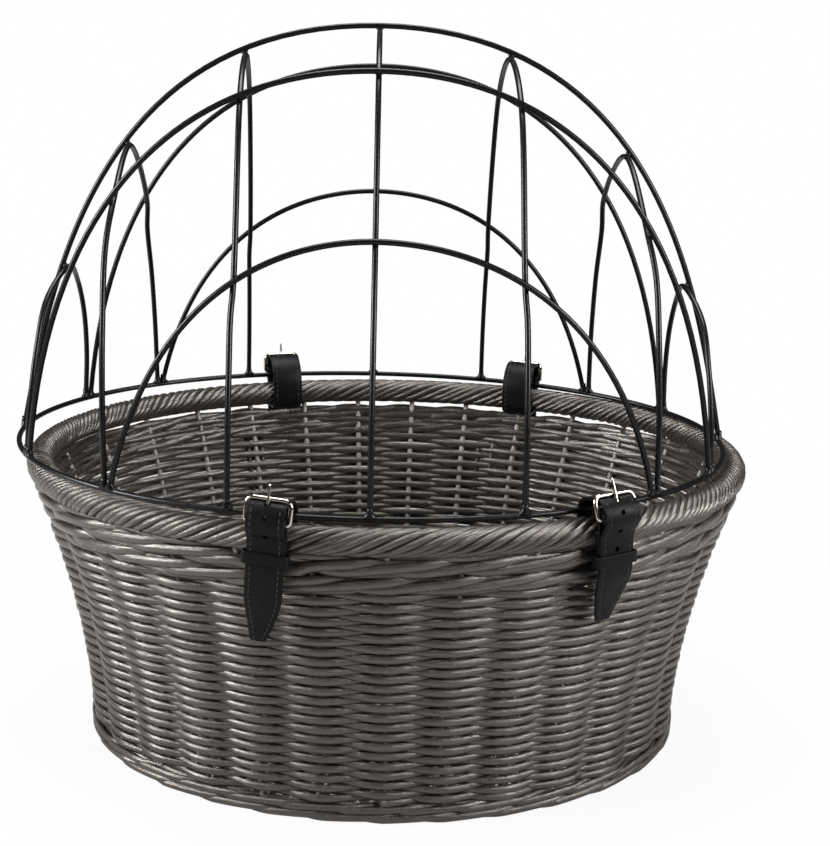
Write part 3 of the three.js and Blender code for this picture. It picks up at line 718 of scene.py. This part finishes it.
class BASKET_OT_border(bpy.types.Operator):
    """Rolls the border: strands that wind side by side round a near-black core, painted shade that shows
    between the strands
    """

    bl_idname = "basket.border"
    bl_label = "Rolled Border"

    def execute(self, context):
        b = context.scene.basket_sizes
        middle = b.border_radius - BORDER_STRAND
        steps = BORDER_STEPS * b.border_turns
        paths = []
        for number in range(b.border_strands):
            first = 2 * math.pi * number / b.border_strands
            path = []
            for i in range(steps):
                turn = 2 * math.pi * i / steps
                wound = b.border_turns * (turn - b.border_gain * math.sin(2 * turn) / 2)
                roll = first + wound + BORDER_ROLL * math.sin(3 * turn + 2 * first)
                out = middle * math.cos(roll) * (1 + BORDER_SWELL * math.sin(5 * turn + 3 * first))
                z = b.border_height + middle * math.sin(roll)
                path.append(oval(b.border_half_length + out, b.border_half_depth + out, z, turn))
            paths.append(path)
        piece = strands("border_strands", paths, BORDER_STRAND, BORDER_STRAND, closed=True)
        finish_piece(piece, "strand", "basket", "wicker", "rim_border")
        ring = [oval(b.border_half_length, b.border_half_depth, b.border_height, 2 * math.pi * i / CORE_STEPS)
                for i in range(CORE_STEPS)]
        # The core's near-black colour is painted shade in the gaps between the border's strands
        core = strands("border_core", [ring], middle, middle, sides=16, closed=True)
        finish_piece(core, "black_and_painted_shade", "basket", "wicker_dark")
        return {"FINISHED"}


class BASKET_OT_base(bpy.types.Operator):
    """Weaves the flat base: sticks along it and strands across them, over one and under the next"""

    bl_idname = "basket.base"
    bl_label = "Woven Base"

    def execute(self, context):
        b = context.scene.basket_sizes
        middle = b.base_thickness / 2
        half_across, half_up = BASE_STRAND
        half_length = b.base_half_length - BASE_INSET
        half_depth = b.base_half_depth - BASE_INSET
        stick_pitch = 2 * half_depth / BASE_STICKS
        sticks = []
        for j in range(BASE_STICKS):
            y = -half_depth + stick_pitch * (j + 0.5)
            x = half_length * math.sqrt(1 - (y / half_depth) ** 2)
            sticks.append([(-x, y, middle), (x, y, middle)])
        piece = strands("base_sticks", sticks, STICK_RADIUS * STICK_FLATNESS, STICK_RADIUS)
        finish_piece(piece, "stake", "basket", "wicker_dark")
        pitch = 2 * half_across * BASE_PACKING
        count = int(2 * half_length / pitch)
        across = []
        for i in range(count):
            x = (i - (count - 1) / 2) * pitch
            y_end = half_depth * math.sqrt(max(1 - (x / half_length) ** 2, 0.0))
            steps = max(int(8 * y_end / stick_pitch), 4)
            path = []
            for k in range(steps + 1):
                y = -y_end + 2 * y_end * k / steps
                wave = math.pi * ((y + half_depth) / stick_pitch - 0.5 + i)
                path.append((x, y, middle + (middle - half_up) * math.cos(wave)))
            across.append(path)
        piece = strands("base_weave", across, half_across, half_up, sides=6)
        finish_piece(piece, "strand", "basket", "wicker_dark", "base_panel")
        return {"FINISHED"}


# Dome

def ring_middle():
    low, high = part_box("base_ring")
    return (low + high) / 2


def bezier(a, b, c, e, steps):
    points = []
    for i in range(steps + 1):
        t = i / steps
        s = 1 - t
        points.append(a * s ** 3 + b * (3 * s * s * t) + c * (3 * s * t * t) + e * t ** 3)
    return points


def smooth_through(points, steps):
    """Smooth path through points, spaced by the roots of their distances"""
    ends = [points[0] * 2 - points[1], *points, points[-1] * 2 - points[-2]]
    path = []

    def between(first, last, start, end, at):
        return first * ((end - at) / (end - start)) + last * ((at - start) / (end - start))

    for i in range(1, len(ends) - 2):
        p = ends[i - 1:i + 3]
        t = [0.0]
        for k in range(3):
            t.append(t[-1] + max((p[k + 1] - p[k]).length, 1e-9) ** 0.5)
        for k in range(steps):
            u = t[1] + (t[2] - t[1]) * k / steps
            row = p
            for level in (1, 2):
                row = [between(row[j], row[j + 1], t[j], t[j + level], u) for j in range(4 - level)]
            path.append(between(row[0], row[1], t[1], t[2], u))
    path.append(points[-1])
    return path


class DomePaths:
    """Paths of the dome's wires in its own frame, with the angles of their feet and the places of crossings"""

    def __init__(self, d):
        self.d = d
        self.foot = d.wire_radius + FOOT_GAP
        self.feet = []
        self.crossings = []
        self.long_arches = self.make_long_arches()
        self.cross_arches = [self.make_cross_arch(arch) for arch in CROSS_ARCHES]

    def ring_point(self, angle):
        d = self.d
        return Vector((d.ring_half_length * math.cos(angle), d.ring_half_depth * math.sin(angle), self.foot))

    def cross_foot(self, arch, side):
        """Angle of a cross arch's foot, found step by step because the arch's plane is turned"""
        d = self.d
        place, turn, _ = arch
        angle = side * math.acos(place / d.ring_half_length)
        for _ in range(40):
            x = place + turn * d.ring_half_depth * math.sin(angle)
            angle = side * math.acos(x / d.ring_half_length)
        return angle

    def neighbour_foot(self, arch, side):
        """Foot of a long arch, beside that of a cross arch"""
        d = self.d
        angle = self.cross_foot(arch, side)
        pace = math.hypot(d.ring_half_length * math.sin(angle), d.ring_half_depth * math.cos(angle))
        step = (2 * d.wire_radius + FOOT_SPACING) / pace
        angle += math.copysign(step, side * math.pi / 2 - angle)
        self.feet.append(angle)
        return self.ring_point(angle)

    def half_arch(self, foot, crown, form):
        lean, share, crown_share = form
        rise = self.foot + (crown.z - self.foot) * share
        first = Vector((foot.x * (1 - lean), foot.y + (crown.y - foot.y) * share, rise))
        second = Vector((foot.x * crown_share, crown.y, crown.z))
        return bezier(foot, first, second, crown, ARCH_STEPS)

    def long_arch(self, left, right, crown, form):
        return self.half_arch(left, crown, form) + self.half_arch(right, crown, form)[-2::-1]

    def make_long_arches(self):
        d = self.d
        self.feet += [0.0, math.pi]
        ends = (self.ring_point(math.pi), self.ring_point(0.0))
        arches = {"ridge_arch": self.long_arch(*ends, Vector((0, 0, d.ridge_height)), RIDGE_FORM)}
        for side, word in ((-1, "front"), (1, "back")):
            for name, depth, height, feet, form in (
                ("_mid_arch", d.mid_half_depth, d.mid_height, (0, -1), MID_FORM),
                ("_low_arch", d.low_half_depth, d.low_height, (1, -2), LOW_FORM),
            ):
                ends = [self.neighbour_foot(CROSS_ARCHES[i], side) for i in feet]
                arches[word + name] = self.long_arch(*ends, Vector((0, side * depth, height)), form)
        return arches

    @staticmethod
    def crossing(path, arch):
        """Where a long arch passes through a cross arch's plane, with its direction there"""
        place, turn, lean = arch
        off = [p.x - place - turn * p.y - lean * p.z for p in path]
        for i in range(len(path) - 1):
            if off[i] < 0 <= off[i + 1]:
                share = off[i] / (off[i] - off[i + 1])
                step = path[i + 1] - path[i]
                return path[i] + step * share, step.normalized()
        raise RuntimeError("A long arch doesn't meet a cross arch's plane")

    def make_cross_arch(self, arch):
        """A cross arch passes inside the long arches, one wire and a crossing gap below each."""
        d = self.d
        place, turn, lean = arch
        reach = 4 * d.wire_radius
        over = []
        for name in ("front_low_arch", "front_mid_arch", "ridge_arch", "back_mid_arch", "back_low_arch"):
            path = self.long_arches[name]
            inside = path[0].x + reach < place < path[-1].x - reach
            if inside or name == "ridge_arch":
                over.append(self.crossing(path, arch))
        angles = [self.cross_foot(arch, side) for side in (-1, 1)]
        self.feet += angles
        front, back = (self.ring_point(angle) for angle in angles)
        outline = [front, *(point for point, _ in over), back]
        middle = Vector((place, 0, self.foot))
        below = []
        for i, (point, tangent) in enumerate(over):
            inward = tangent.cross(outline[i + 2] - outline[i]).normalized()
            if inward.dot(middle - point) < 0:
                inward.negate()
            below.append(point + inward * (2 * d.wire_radius + CROSSING_GAP))
            self.crossings.append((point + inward * d.wire_radius, tangent))
        top = below[len(below) // 2]

        def fall(z):
            return 1 - math.sqrt(1 - min((z - self.foot) / (top.z - self.foot), 1.0) ** 2)

        def guides(foot, first):
            points = []
            for share in GUIDE_SHARES:
                z = self.foot + (first.z - self.foot) * share
                y = foot.y + (first.y - foot.y) * fall(z) / fall(first.z)
                points.append(Vector((place + turn * y + lean * z, y, z)))
            return points

        points = [front, *guides(front, below[0]), *below, *reversed(guides(back, below[-1])), back]
        return smooth_through(points, 8)


class BASKET_OT_dome(bpy.types.Operator):
    """Bends the dome's ring and arches from round wire and welds them together"""

    bl_idname = "basket.dome"
    bl_label = "Wire Dome"

    def execute(self, context):
        d = context.scene.dome_sizes
        place = Matrix.Translation(ring_middle()) @ Matrix.Rotation(d.tilt, 4, "Y")
        paths = DomePaths(d)
        ring = []
        for i in range(RING_STEPS):
            turn = 2 * math.pi * i / RING_STEPS
            ring.append((d.ring_half_length * math.cos(turn), d.ring_half_depth * math.sin(turn), 0.0))
        self.wire(d, place, "base_ring", ring, closed=True)
        for node, path in paths.long_arches.items():
            self.wire(d, place, node, self.to_ring(path))
        for number, path in enumerate(paths.cross_arches, start=1):
            self.wire(d, place, f"cross_arch_{number}", self.to_ring(path))
        self.welds(d, place, paths)
        return {"FINISHED"}

    @staticmethod
    def to_ring(path):
        """Carries both ends of a wire down into the ring."""
        first, last = path[0], path[-1]
        return [Vector((first.x, first.y, 0.0)), *path, Vector((last.x, last.y, 0.0))]

    @staticmethod
    def wire(d, place, node, path, closed=False):
        path = [place @ Vector(p) for p in path]
        piece = strands(node + "_wire", [path], d.wire_radius, d.wire_radius, sides=12, closed=closed,
                        twist="MINIMUM")
        finish_piece(piece, "wire", "dome", "black_wire", node)

    @staticmethod
    def welds(d, place, paths):
        """Flared welds under the feet, flattened to the ring, and a bead in each crossing"""
        wide = d.weld_width / d.wire_radius
        radii = [share * wide for _, share in WELD_FLARE] + [share for _, share in WELD_NECK]
        path = [(0, 0, height) for height, _ in WELD_FLARE + WELD_NECK]
        fillet = strands("foot_weld", [path], d.wire_radius, d.wire_radius, sides=12, radii=radii,
                         twist="MINIMUM")
        for vertex in fillet.data.vertices:
            spread = math.hypot(vertex.co.x, vertex.co.y)
            if spread > d.wire_radius:
                vertex.co.y *= min(1.1 * d.wire_radius / spread + 0.12, 1.0)
        feet = []
        for angle in paths.feet:
            point = paths.ring_point(angle)
            tangent = math.atan2(d.ring_half_depth * math.cos(angle), -d.ring_half_length * math.sin(angle))
            feet.append(place @ Matrix.Translation((point.x, point.y, WELD_SEAT * d.wire_radius))
                        @ Matrix.Rotation(tangent, 4, "Z"))
        made = stamped(fillet.data, feet)
        bpy.data.objects.remove(fillet)
        deselect()
        bpy.ops.mesh.primitive_uv_sphere_add(segments=12, ring_count=8, radius=d.wire_radius)
        bead = bpy.context.object
        made += stamped(bead.data, [
            place @ Matrix.Translation(point) @ tangent.to_track_quat("X", "Z").to_matrix().to_4x4()
            @ Matrix.Diagonal(BEAD_FORM) for point, tangent in paths.crossings])
        bpy.data.objects.remove(bead)
        piece = joined("wire_welds", made)
        pick(piece)
        bpy.ops.object.shade_smooth()
        finish_piece(piece, "wire", "dome", "black_wire")


# Straps

class StrapPlane:
    """A strap's own plane: x runs outward from the border's centre line, y up and z along its width."""

    def __init__(self, b, d, s, strap):
        self.name, share, side, self.drop, hang, self.slack, self.drift, lean, way, self.hole_foot = strap
        half_length, half_depth = b.border_half_length, b.border_half_depth
        along = share * half_length
        hang = math.radians(hang)
        y = side * half_depth * math.sqrt(1 - (along / half_length) ** 2)
        out = Vector((along / half_length ** 2, y / half_depth ** 2, 0)).normalized()
        level = Vector((out.y, -out.x, 0))
        up = Vector((0, 0, 1)) * math.cos(hang) + level * math.sin(hang)
        across = out.cross(up)
        self.place = Matrix((
            (out.x, up.x, across.x, along),
            (out.y, up.y, across.y, y),
            (out.z, up.z, across.z, b.border_height),
            (0, 0, 0, 1),
        ))
        self.back = self.place.inverted()
        # How far the border's curve bows in over the strap's width
        run = math.hypot(half_length * y / half_depth, half_depth * along / half_length)
        reach = s.width / 2 + abs(math.sin(hang)) * s.buckle_length
        bow = reach ** 2 / (2 * run ** 3 / (half_length * half_depth))
        # Where the dome's ring crosses the plane
        centre = ring_middle()
        ring_along = (along - centre.x) / math.cos(d.tilt)
        ring_y = centre.y + side * d.ring_half_depth * math.sqrt(1 - (ring_along / d.ring_half_length) ** 2)
        ring_x = (ring_y - y) * out.y
        self.ring_y = centre.z - b.border_height - ring_along * math.sin(d.tilt)
        swing = RING_SWING if side > 0 else 0.0
        # Middle lines of the leather: behind the keeper, in front of it, and round the border
        self.width = s.width
        self.half = half = s.thickness / 2
        keeper_room = 2 * TOUCH + KEEPER_THICKNESS + half
        self.back_x = max(b.border_radius + keeper_room, ring_x + d.wire_radius + swing + TOUCH + half)
        self.tongue_x = self.back_x + s.thickness + TOUCH
        self.hug = b.border_radius + TOUCH + half + bow
        self.low = self.hug + self.slack
        self.keeper_drop = self.low - bow - s.keeper_rise
        # Buckle: its bars, the leather's fold and the prong's loop round the heel bar
        self.fold = CORE_REACH + TOUCH + half
        self.heel = Vector((self.back_x + self.fold, self.ring_y + HEEL_RISE))
        lean = math.radians(lean)
        way = math.radians(way)
        self.way = Vector((math.cos(way), math.sin(way)))
        self.end = self.heel + Vector((-math.sin(lean), math.cos(lean))) * s.buckle_length
        self.buckle = Matrix.Translation((self.heel.x, self.heel.y, 0)) @ Matrix.Rotation(lean, 4, "Z")
        self.loop = CORE_REACH + TOUCH + PRONG_WIDTH / 2
        self.heel_reach = max(self.fold + half, self.loop + PRONG_WIDTH / 2)

    def over(self, x, y):
        """Place of a point of the wall along the strap's width, or None where it lies far off"""
        spot = self.back @ Vector((x, y, self.place.translation.z - self.low))
        return spot.z if abs(spot.x) < self.width else None

    def pushed(self, x, y, z, half):
        """Height of a strand that makes room for the leather under the border"""
        across = self.over(x, y)
        if across is None:
            return z
        window = ease(clamp((1.1 * self.width - abs(across)) / (0.5 * self.width)))
        off = z - (self.place @ Vector((0.0, -self.low, across))).z
        room = self.half + half + TOUCH
        if abs(off) < room:
            z += window * (math.copysign(room, off) - off)
        return z

    def ceiling(self, point, high):
        """Height where a stake ends, under the leather if that lies over it"""
        across = self.over(point[0], point[1])
        if across is None or abs(across) > self.width / 2 + STAKE_ROOM:
            return high
        return (self.place @ Vector((0.0, -self.low - 2 * self.half, across))).z

    def drift_at(self, y):
        """Sideways drift of the tongue below the loop"""
        top = -self.low - 2 * self.half
        return self.drift * (max(top - y, 0.0) / (top + self.drop)) ** 2

    def half_width_at(self, s, y):
        """Half of the strap's width at a height, less towards the tip"""
        share = clamp((s.tip_length - self.drop - y) / s.tip_length)
        return (s.width + (s.tip_width - s.width) * share ** TIP_POWER) / 2

    def path(self, s):
        """Leather from the fold round the heel bar, down, under the border, up inside, over the ring,
        under the end bar and down outside to the tip; with the number of the first point under the border."""
        heel, hug, low, back_x, tongue_x = self.heel, self.hug, self.low, self.back_x, self.tongue_x
        points = arc(heel, self.fold, -math.pi / 5, math.pi, 18)
        points += line(points[-1], (back_x, -self.keeper_drop + TOUCH), 6)
        turn = 2 * s.thickness
        points += curve2(points[-1], (back_x, -low), (back_x - turn / 2, -low), (back_x - turn, -low), 8)
        points += line(points[-1], (0.0, -low), 5)
        under = len(points)
        points += arc(Vector((0.0, -self.slack)), hug, -math.pi / 2, -math.pi, 16)[1:]
        points += line(points[-1], (-hug, self.ring_y / 2), 4)
        under_end = self.end + Vector((self.way.y, -self.way.x)) * self.fold
        reach = under_end - self.way * PASS_REACH
        points += curve2(points[-1], (-hug, under_end.y), reach, under_end, 16)
        leave = under_end + self.way * PASS_LEAVE
        over_x = heel.x + self.heel_reach + 2 * TOUCH + self.half
        points += curve2(points[-1], leave, (over_x, heel.y + s.buckle_length / 2), (over_x, heel.y), 14)
        keeper_top = s.keeper_height - self.keeper_drop
        first = (tongue_x, keeper_top + s.hole_pitch / 2)
        points += curve2(points[-1], (over_x, heel.y / 2), (tongue_x, heel.y / 2), first, 8)
        points += line(points[-1], (tongue_x, -self.keeper_drop), 5)
        tip = (s.tip_reach, -self.drop)
        points += curve2(points[-1], (tongue_x, -self.drop / 2), (hug, -self.drop / 2), tip, 22)
        return points, under


def strap_planes(scene):
    return [StrapPlane(scene.basket_sizes, scene.dome_sizes, scene.strap_sizes, strap) for strap in STRAPS]


def arc(centre, radius, first, last, steps):
    angles = [first + (last - first) * i / steps for i in range(steps + 1)]
    return [centre + Vector((math.cos(angle), math.sin(angle))) * radius for angle in angles]


def line(first, last, steps):
    return [first.lerp(Vector(last), i / steps) for i in range(1, steps + 1)]


def curve2(a, b, c, e, steps):
    return bezier(a, Vector(b), Vector(c), Vector(e), steps)[1:]


def ribbon(name, points, width, thickness, edge, closed=False):
    """Flat leather along a path in its plane, with softened edges"""
    piece = new_curve("2D")
    piece.data.fill_mode = "NONE"
    piece.data.extrude = width / 2
    add_spline(piece.data, [(point.x, point.y, 0.0) for point in points], closed)
    piece = to_mesh(piece, name)
    face_out(piece)
    solid = piece.modifiers.new("Thickness", "SOLIDIFY")
    solid.thickness = thickness
    solid.offset = 0.0
    solid.use_even_offset = True
    soft = piece.modifiers.new("Soft edges", "BEVEL")
    soft.width = edge
    soft.segments = 3
    soft.limit_method = "ANGLE"
    soft.angle_limit = math.radians(50)
    return piece


def cut_with(piece, cutter):
    """Cuts one piece with another and removes the cutter."""
    pick(piece)
    cut = piece.modifiers.new("Cut", "BOOLEAN")
    cut.operation = "DIFFERENCE"
    cut.solver = "EXACT"
    cut.object = cutter
    bpy.ops.object.modifier_apply(modifier=cut.name)
    bpy.data.objects.remove(cutter)


def box_cutter(place, low, high):
    deselect()
    bpy.ops.mesh.primitive_cube_add(size=1.0)
    cutter = bpy.context.object
    low, high = Vector(low), Vector(high)
    cutter.data.transform(place @ Matrix.Translation((high + low) / 2) @ Matrix.Diagonal((*(high - low), 1.0)))
    return cutter


def round_cutter(radius, x, y, depth):
    deselect()
    bpy.ops.mesh.primitive_cylinder_add(vertices=20, radius=radius, depth=depth)
    cutter = bpy.context.object
    cutter.data.transform(Matrix.Translation((x, y, 0)) @ Matrix.Rotation(math.pi / 2, 4, "Y"))
    return cutter


def smooth_leather(piece, place):
    """Sets a piece of leather in its place and smooths its bends."""
    piece.data.transform(place)
    pick(piece)
    bpy.ops.object.shade_smooth_by_angle(angle=SMOOTH_ANGLE)


class BASKET_OT_straps(bpy.types.Operator):
    """Cuts, folds and stitches the leather straps round the border and the dome's ring"""

    bl_idname = "basket.straps"
    bl_label = "Leather Straps"

    def execute(self, context):
        s = context.scene.strap_sizes
        for plane in strap_planes(context.scene):
            points, under = plane.path(s)
            piece = ribbon(plane.name + "_leather", points, s.width, s.thickness, LEATHER_EDGE)
            for vertex in piece.data.vertices:
                vertex.co.z *= plane.half_width_at(s, vertex.co.y) / (s.width / 2)
                vertex.co.z += plane.drift_at(vertex.co.y)
            apply_modifiers(piece)
            self.punch(piece, plane, s)
            smooth_leather(piece, plane.place)
            finish_piece(piece, "leather", "basket", "black_leather", plane.name + "_strap")
            seam = self.stitches(plane, s, points[under:])
            finish_piece(seam, "thread", "basket", "black_leather")
        return {"FINISHED"}

    @staticmethod
    def punch(piece, plane, s):
        """Cuts the prong's slot in the fold, its hole in the tongue and the spare holes."""
        reach = plane.heel_reach + TOUCH
        slot = (PRONG_WIDTH + 2 * SLOT_ROOM) / 2
        cut_with(piece, box_cutter(plane.buckle, (-reach, -reach, -slot), (reach, reach, slot)))
        length = s.buckle_length
        play, side_play = HOLE_PLAY
        half = PRONG_WIDTH / 2 + side_play
        low = (PRONG_BESIDE - PRONG_WIDTH / 2 - play, plane.hole_foot * length, -half)
        high = (PRONG_BESIDE + PRONG_WIDTH / 2 + play, HOLE_TOP * length, half)
        cut_with(piece, box_cutter(plane.buckle, low, high))
        first = plane.heel.y + FIRST_HOLE
        x = plane.tongue_x - plane.half - TOUCH / 2 + length
        for number in range(SPARE_HOLES):
            cut_with(piece, round_cutter(s.hole_radius, x, first - number * s.hole_pitch, 2 * length))

    @staticmethod
    def stitches(plane, s, points):
        """Small threads in two rows, one near each edge, on the outer face of the loop"""
        deselect()
        bpy.ops.mesh.primitive_uv_sphere_add(segments=8, ring_count=4, radius=1.0)
        stitch = bpy.context.object
        long, high, wide = STITCH_FORM
        size = Matrix.Diagonal((long * s.stitch_pitch, high, wide, 1.0))
        runs = [0.0]
        for first, last in zip(points, points[1:]):
            runs.append(runs[-1] + (last - first).length)
        places = []
        for number in range(int(runs[-1] / s.stitch_pitch)):
            run = (number + 0.5) * s.stitch_pitch
            k = max(i for i, value in enumerate(runs[:-1]) if value <= run)
            step = points[k + 1] - points[k]
            at = points[k] + step * ((run - runs[k]) / step.length)
            along = step.normalized()
            out = Vector((-along.y, along.x))
            spot = at + out * plane.half
            across = plane.half_width_at(s, at.y) - s.stitch_inset
            for side in (-1, 1):
                turn = Matrix((
                    (along.x, out.x, 0, spot.x),
                    (along.y, out.y, 0, spot.y),
                    (0, 0, 1, side * across + plane.drift_at(at.y)),
                    (0, 0, 0, 1),
                ))
                places.append(plane.place @ turn @ size)
        made = stamped(stitch.data, places)
        bpy.data.objects.remove(stitch)
        piece = joined(plane.name + "_stitches", made)
        face_out(piece)
        bpy.ops.object.shade_smooth()
        return piece


class BASKET_OT_keepers(bpy.types.Operator):
    """Wraps a keeper loop round both layers of each strap"""

    bl_idname = "basket.keepers"
    bl_label = "Keeper Loops"

    def execute(self, context):
        s = context.scene.strap_sizes
        for plane in strap_planes(context.scene):
            inner = plane.back_x - plane.half - TOUCH - KEEPER_THICKNESS / 2
            outer = plane.tongue_x + plane.half + TOUCH + KEEPER_THICKNESS / 2
            side = s.width / 2 + s.keeper_slack + KEEPER_THICKNESS / 2
            points = round_rectangle((inner, -side), (outer, side), (KEEPER_CORNER,) * 4)
            piece = ribbon(plane.name + "_loop", points, s.keeper_height, KEEPER_THICKNESS, KEEPER_EDGE, True)
            apply_modifiers(piece)
            low = s.keeper_height / 2 - plane.keeper_drop
            turn = Matrix(((1, 0, 0, 0), (0, 0, 1, low), (0, -1, 0, 0), (0, 0, 0, 1)))
            smooth_leather(piece, plane.place @ turn)
            node = plane.name + "_keeper"
            finish_piece(piece, "leather", node, "black_leather", node)
        return {"FINISHED"}


def round_rectangle(low, high, corners):
    """Rectangle with a radius and steps for each corner, from the upper right one round to the left"""
    points = []
    ways = ((-1, -1), (1, -1), (1, 1), (-1, 1))
    for quarter, ((x_way, y_way), (radius, steps)) in enumerate(zip(ways, corners)):
        x = (low if x_way > 0 else high)[0] + x_way * radius
        y = (low if y_way > 0 else high)[1] + y_way * radius
        points += arc(Vector((x, y)), radius, quarter * math.pi / 2, (quarter + 1) * math.pi / 2, steps)
    return points


class BASKET_OT_buckles(bpy.types.Operator):
    """Bends the nickel buckle frames and their prongs"""

    bl_idname = "basket.buckles"
    bl_label = "Buckles"

    def execute(self, context):
        s = context.scene.strap_sizes
        half = s.width / 2 + SLOT_ROOM + CORE_BAR
        corners = (END_CORNER, END_CORNER, HEEL_CORNER, HEEL_CORNER)
        outline = round_rectangle((-half, 0.0), (half, s.buckle_length), corners)
        for plane in strap_planes(context.scene):
            place = plane.place @ plane.buckle
            node = plane.name + "_buckle"
            points = [place @ Vector((0.0, p.y, p.x)) for p in outline]
            piece = strands(plane.name + "_frame", [points], s.bar_radius, s.bar_radius, sides=14, closed=True,
                            twist="MINIMUM")
            finish_piece(piece, "nickel", node, "nickel", node)
            node = plane.name + "_prong"
            path = self.prong_path(plane.loop, s.buckle_length + PRONG_PAST)
            points = [place @ Vector((p.x, p.y, 0.0)) for p in path]
            count, taper = PRONG_TAPER
            radii = [1.0 - taper * max(i - len(path) + count + 1, 0) for i in range(len(path))]
            piece = strands(plane.name + "_pin", [points], PRONG_WIDTH / 2, PRONG_WIDTH / 2, sides=12,
                            radii=radii, twist="MINIMUM")
            finish_piece(piece, "nickel", node, "nickel", node)
        return {"FINISHED"}

    @staticmethod
    def prong_path(loop, end):
        """Loop round the heel bar, then straight on beside the end bar and past it"""
        path = arc(Vector((0.0, 0.0)), loop, 5 * math.pi / 12, 2 * math.pi, 20)
        path += curve2(path[-1], (loop, loop), (PRONG_BESIDE, loop), (PRONG_BESIDE, 2 * loop), 6)
        return path + line(path[-1], (PRONG_BESIDE, end), 16)


# Stage

class BASKET_OT_stage(bpy.types.Operator):
    """Sets a plain pale floor, soft studio lights and the camera"""

    bl_idname = "basket.stage"
    bl_label = "Stage"

    def execute(self, context):
        self.floor(context.scene.basket_colours)
        self.world(context.scene)
        self.lights()
        self.camera(context.scene)
        context.scene.view_settings.view_transform = "Standard"
        return {"FINISHED"}

    def floor(self, colours):
        """A floor that looks white to the eye, fading to its own shaded tone round the basket"""
        deselect()
        bpy.ops.mesh.primitive_plane_add(size=FLOOR_SIZE)
        floor = bpy.context.object
        floor.name = "floor"
        finish, shader = new_finish("pale_floor", colours.floor, 0.9, 0.1)
        white = add_node(finish, "ShaderNodeEmission")
        far = add_node(finish, "ShaderNodeVectorMath", operation="LENGTH")
        link(finish, object_place(finish), far.inputs[0])
        fade = ramp(finish, far.outputs["Value"], 0.93, 1.0, 0.3, 0.9, interpolation_type="SMOOTHSTEP")
        share = add_node(finish, "ShaderNodeMath", operation="MULTIPLY")
        link(finish, self.seen(finish), share.inputs[0])
        link(finish, fade, share.inputs[1])
        self.mix(finish, "Material Output", share.outputs["Value"], shader.outputs["BSDF"],
                 white.outputs["Emission"])
        floor.data.materials.append(finish)

    def world(self, scene):
        """A world that looks white to the eye and gives a little light"""
        world = bpy.data.worlds.new("studio")
        world.use_nodes = True
        scene.world = world
        light = world.node_tree.nodes["Background"]
        light.inputs["Color"].default_value = WHITE
        light.inputs["Strength"].default_value = 0.05
        white = add_node(world, "ShaderNodeBackground")
        white.inputs["Color"].default_value = WHITE
        self.mix(world, "World Output", self.seen(world), light.outputs["Background"],
                 white.outputs["Background"])

    @staticmethod
    def seen(holder):
        """One where the eye looks, straight or through a piece, and nought where light is carried"""
        path = add_node(holder, "ShaderNodeLightPath")
        either = add_node(holder, "ShaderNodeMath", operation="MAXIMUM")
        link(holder, path.outputs["Is Camera Ray"], either.inputs[0])
        link(holder, path.outputs["Is Transmission Ray"], either.inputs[1])
        return either.outputs["Value"]

    @staticmethod
    def mix(holder, output, share, first, second):
        node = add_node(holder, "ShaderNodeMixShader")
        link(holder, share, node.inputs["Fac"])
        link(holder, first, node.inputs[1])
        link(holder, second, node.inputs[2])
        link(holder, node.outputs["Shader"], holder.node_tree.nodes[output].inputs["Surface"])

    @staticmethod
    def lights():
        for name, spot, size, power in LIGHTS:
            deselect()
            bpy.ops.object.light_add(type="AREA", location=spot)
            lamp = bpy.context.object
            lamp.name = name
            lamp.data.size = size
            lamp.data.energy = power
            lamp.rotation_euler = (LIGHT_TARGET - Vector(spot)).to_track_quat("-Z", "Y").to_euler()

    @staticmethod
    def camera(scene):
        deselect()
        bpy.ops.object.camera_add(location=CAMERA_PLACE)
        camera = bpy.context.object
        camera.name = "camera"
        turn = Matrix.Rotation(CAMERA_PITCH, 3, "X") @ Matrix.Rotation(CAMERA_ROLL, 3, "Z")
        camera.rotation_euler = turn.to_euler()
        camera.data.sensor_width = 36.0
        camera.data.lens = CAMERA_LENS
        camera.data.shift_x = CAMERA_SHIFT
        camera.data.clip_end = 100.0
        scene.camera = camera


class BASKET_PT_panel(bpy.types.Panel):
    """Lists the steps that make the basket"""

    bl_idname = "BASKET_PT_panel"
    bl_label = "Bicycle Basket"
    bl_space_type = "VIEW_3D"
    bl_region_type = "UI"
    bl_category = "Basket"

    def draw(self, context):
        for operator in OPERATORS:
            self.layout.operator(operator.bl_idname)


OPERATORS = (
    BASKET_OT_stage,
    BASKET_OT_randing,
    BASKET_OT_wales,
    BASKET_OT_stakes,
    BASKET_OT_border,
    BASKET_OT_base,
    BASKET_OT_dome,
    BASKET_OT_straps,
    BASKET_OT_keepers,
    BASKET_OT_buckles,
)
GROUPS = (
    ("basket_sizes", BasketSizes),
    ("dome_sizes", DomeSizes),
    ("strap_sizes", StrapSizes),
    ("basket_colours", BasketColours),
)


def register():
    for name, group in GROUPS:
        bpy.utils.register_class(group)
        setattr(bpy.types.Scene, name, PointerProperty(type=group))
    for operator in OPERATORS:
        bpy.utils.register_class(operator)
    bpy.utils.register_class(BASKET_PT_panel)


def unregister():
    bpy.utils.unregister_class(BASKET_PT_panel)
    for operator in reversed(OPERATORS):
        bpy.utils.unregister_class(operator)
    for name, group in reversed(GROUPS):
        delattr(bpy.types.Scene, name)
        bpy.utils.unregister_class(group)


def main():
    register()
    bpy.ops.basket.stage()
    bpy.ops.basket.randing()
    bpy.ops.basket.wales()
    bpy.ops.basket.stakes()
    bpy.ops.basket.border()
    bpy.ops.basket.base()
    bpy.ops.basket.dome()
    bpy.ops.basket.straps()
    bpy.ops.basket.keepers()
    bpy.ops.basket.buckles()


if __name__ == "__main__":
    main()
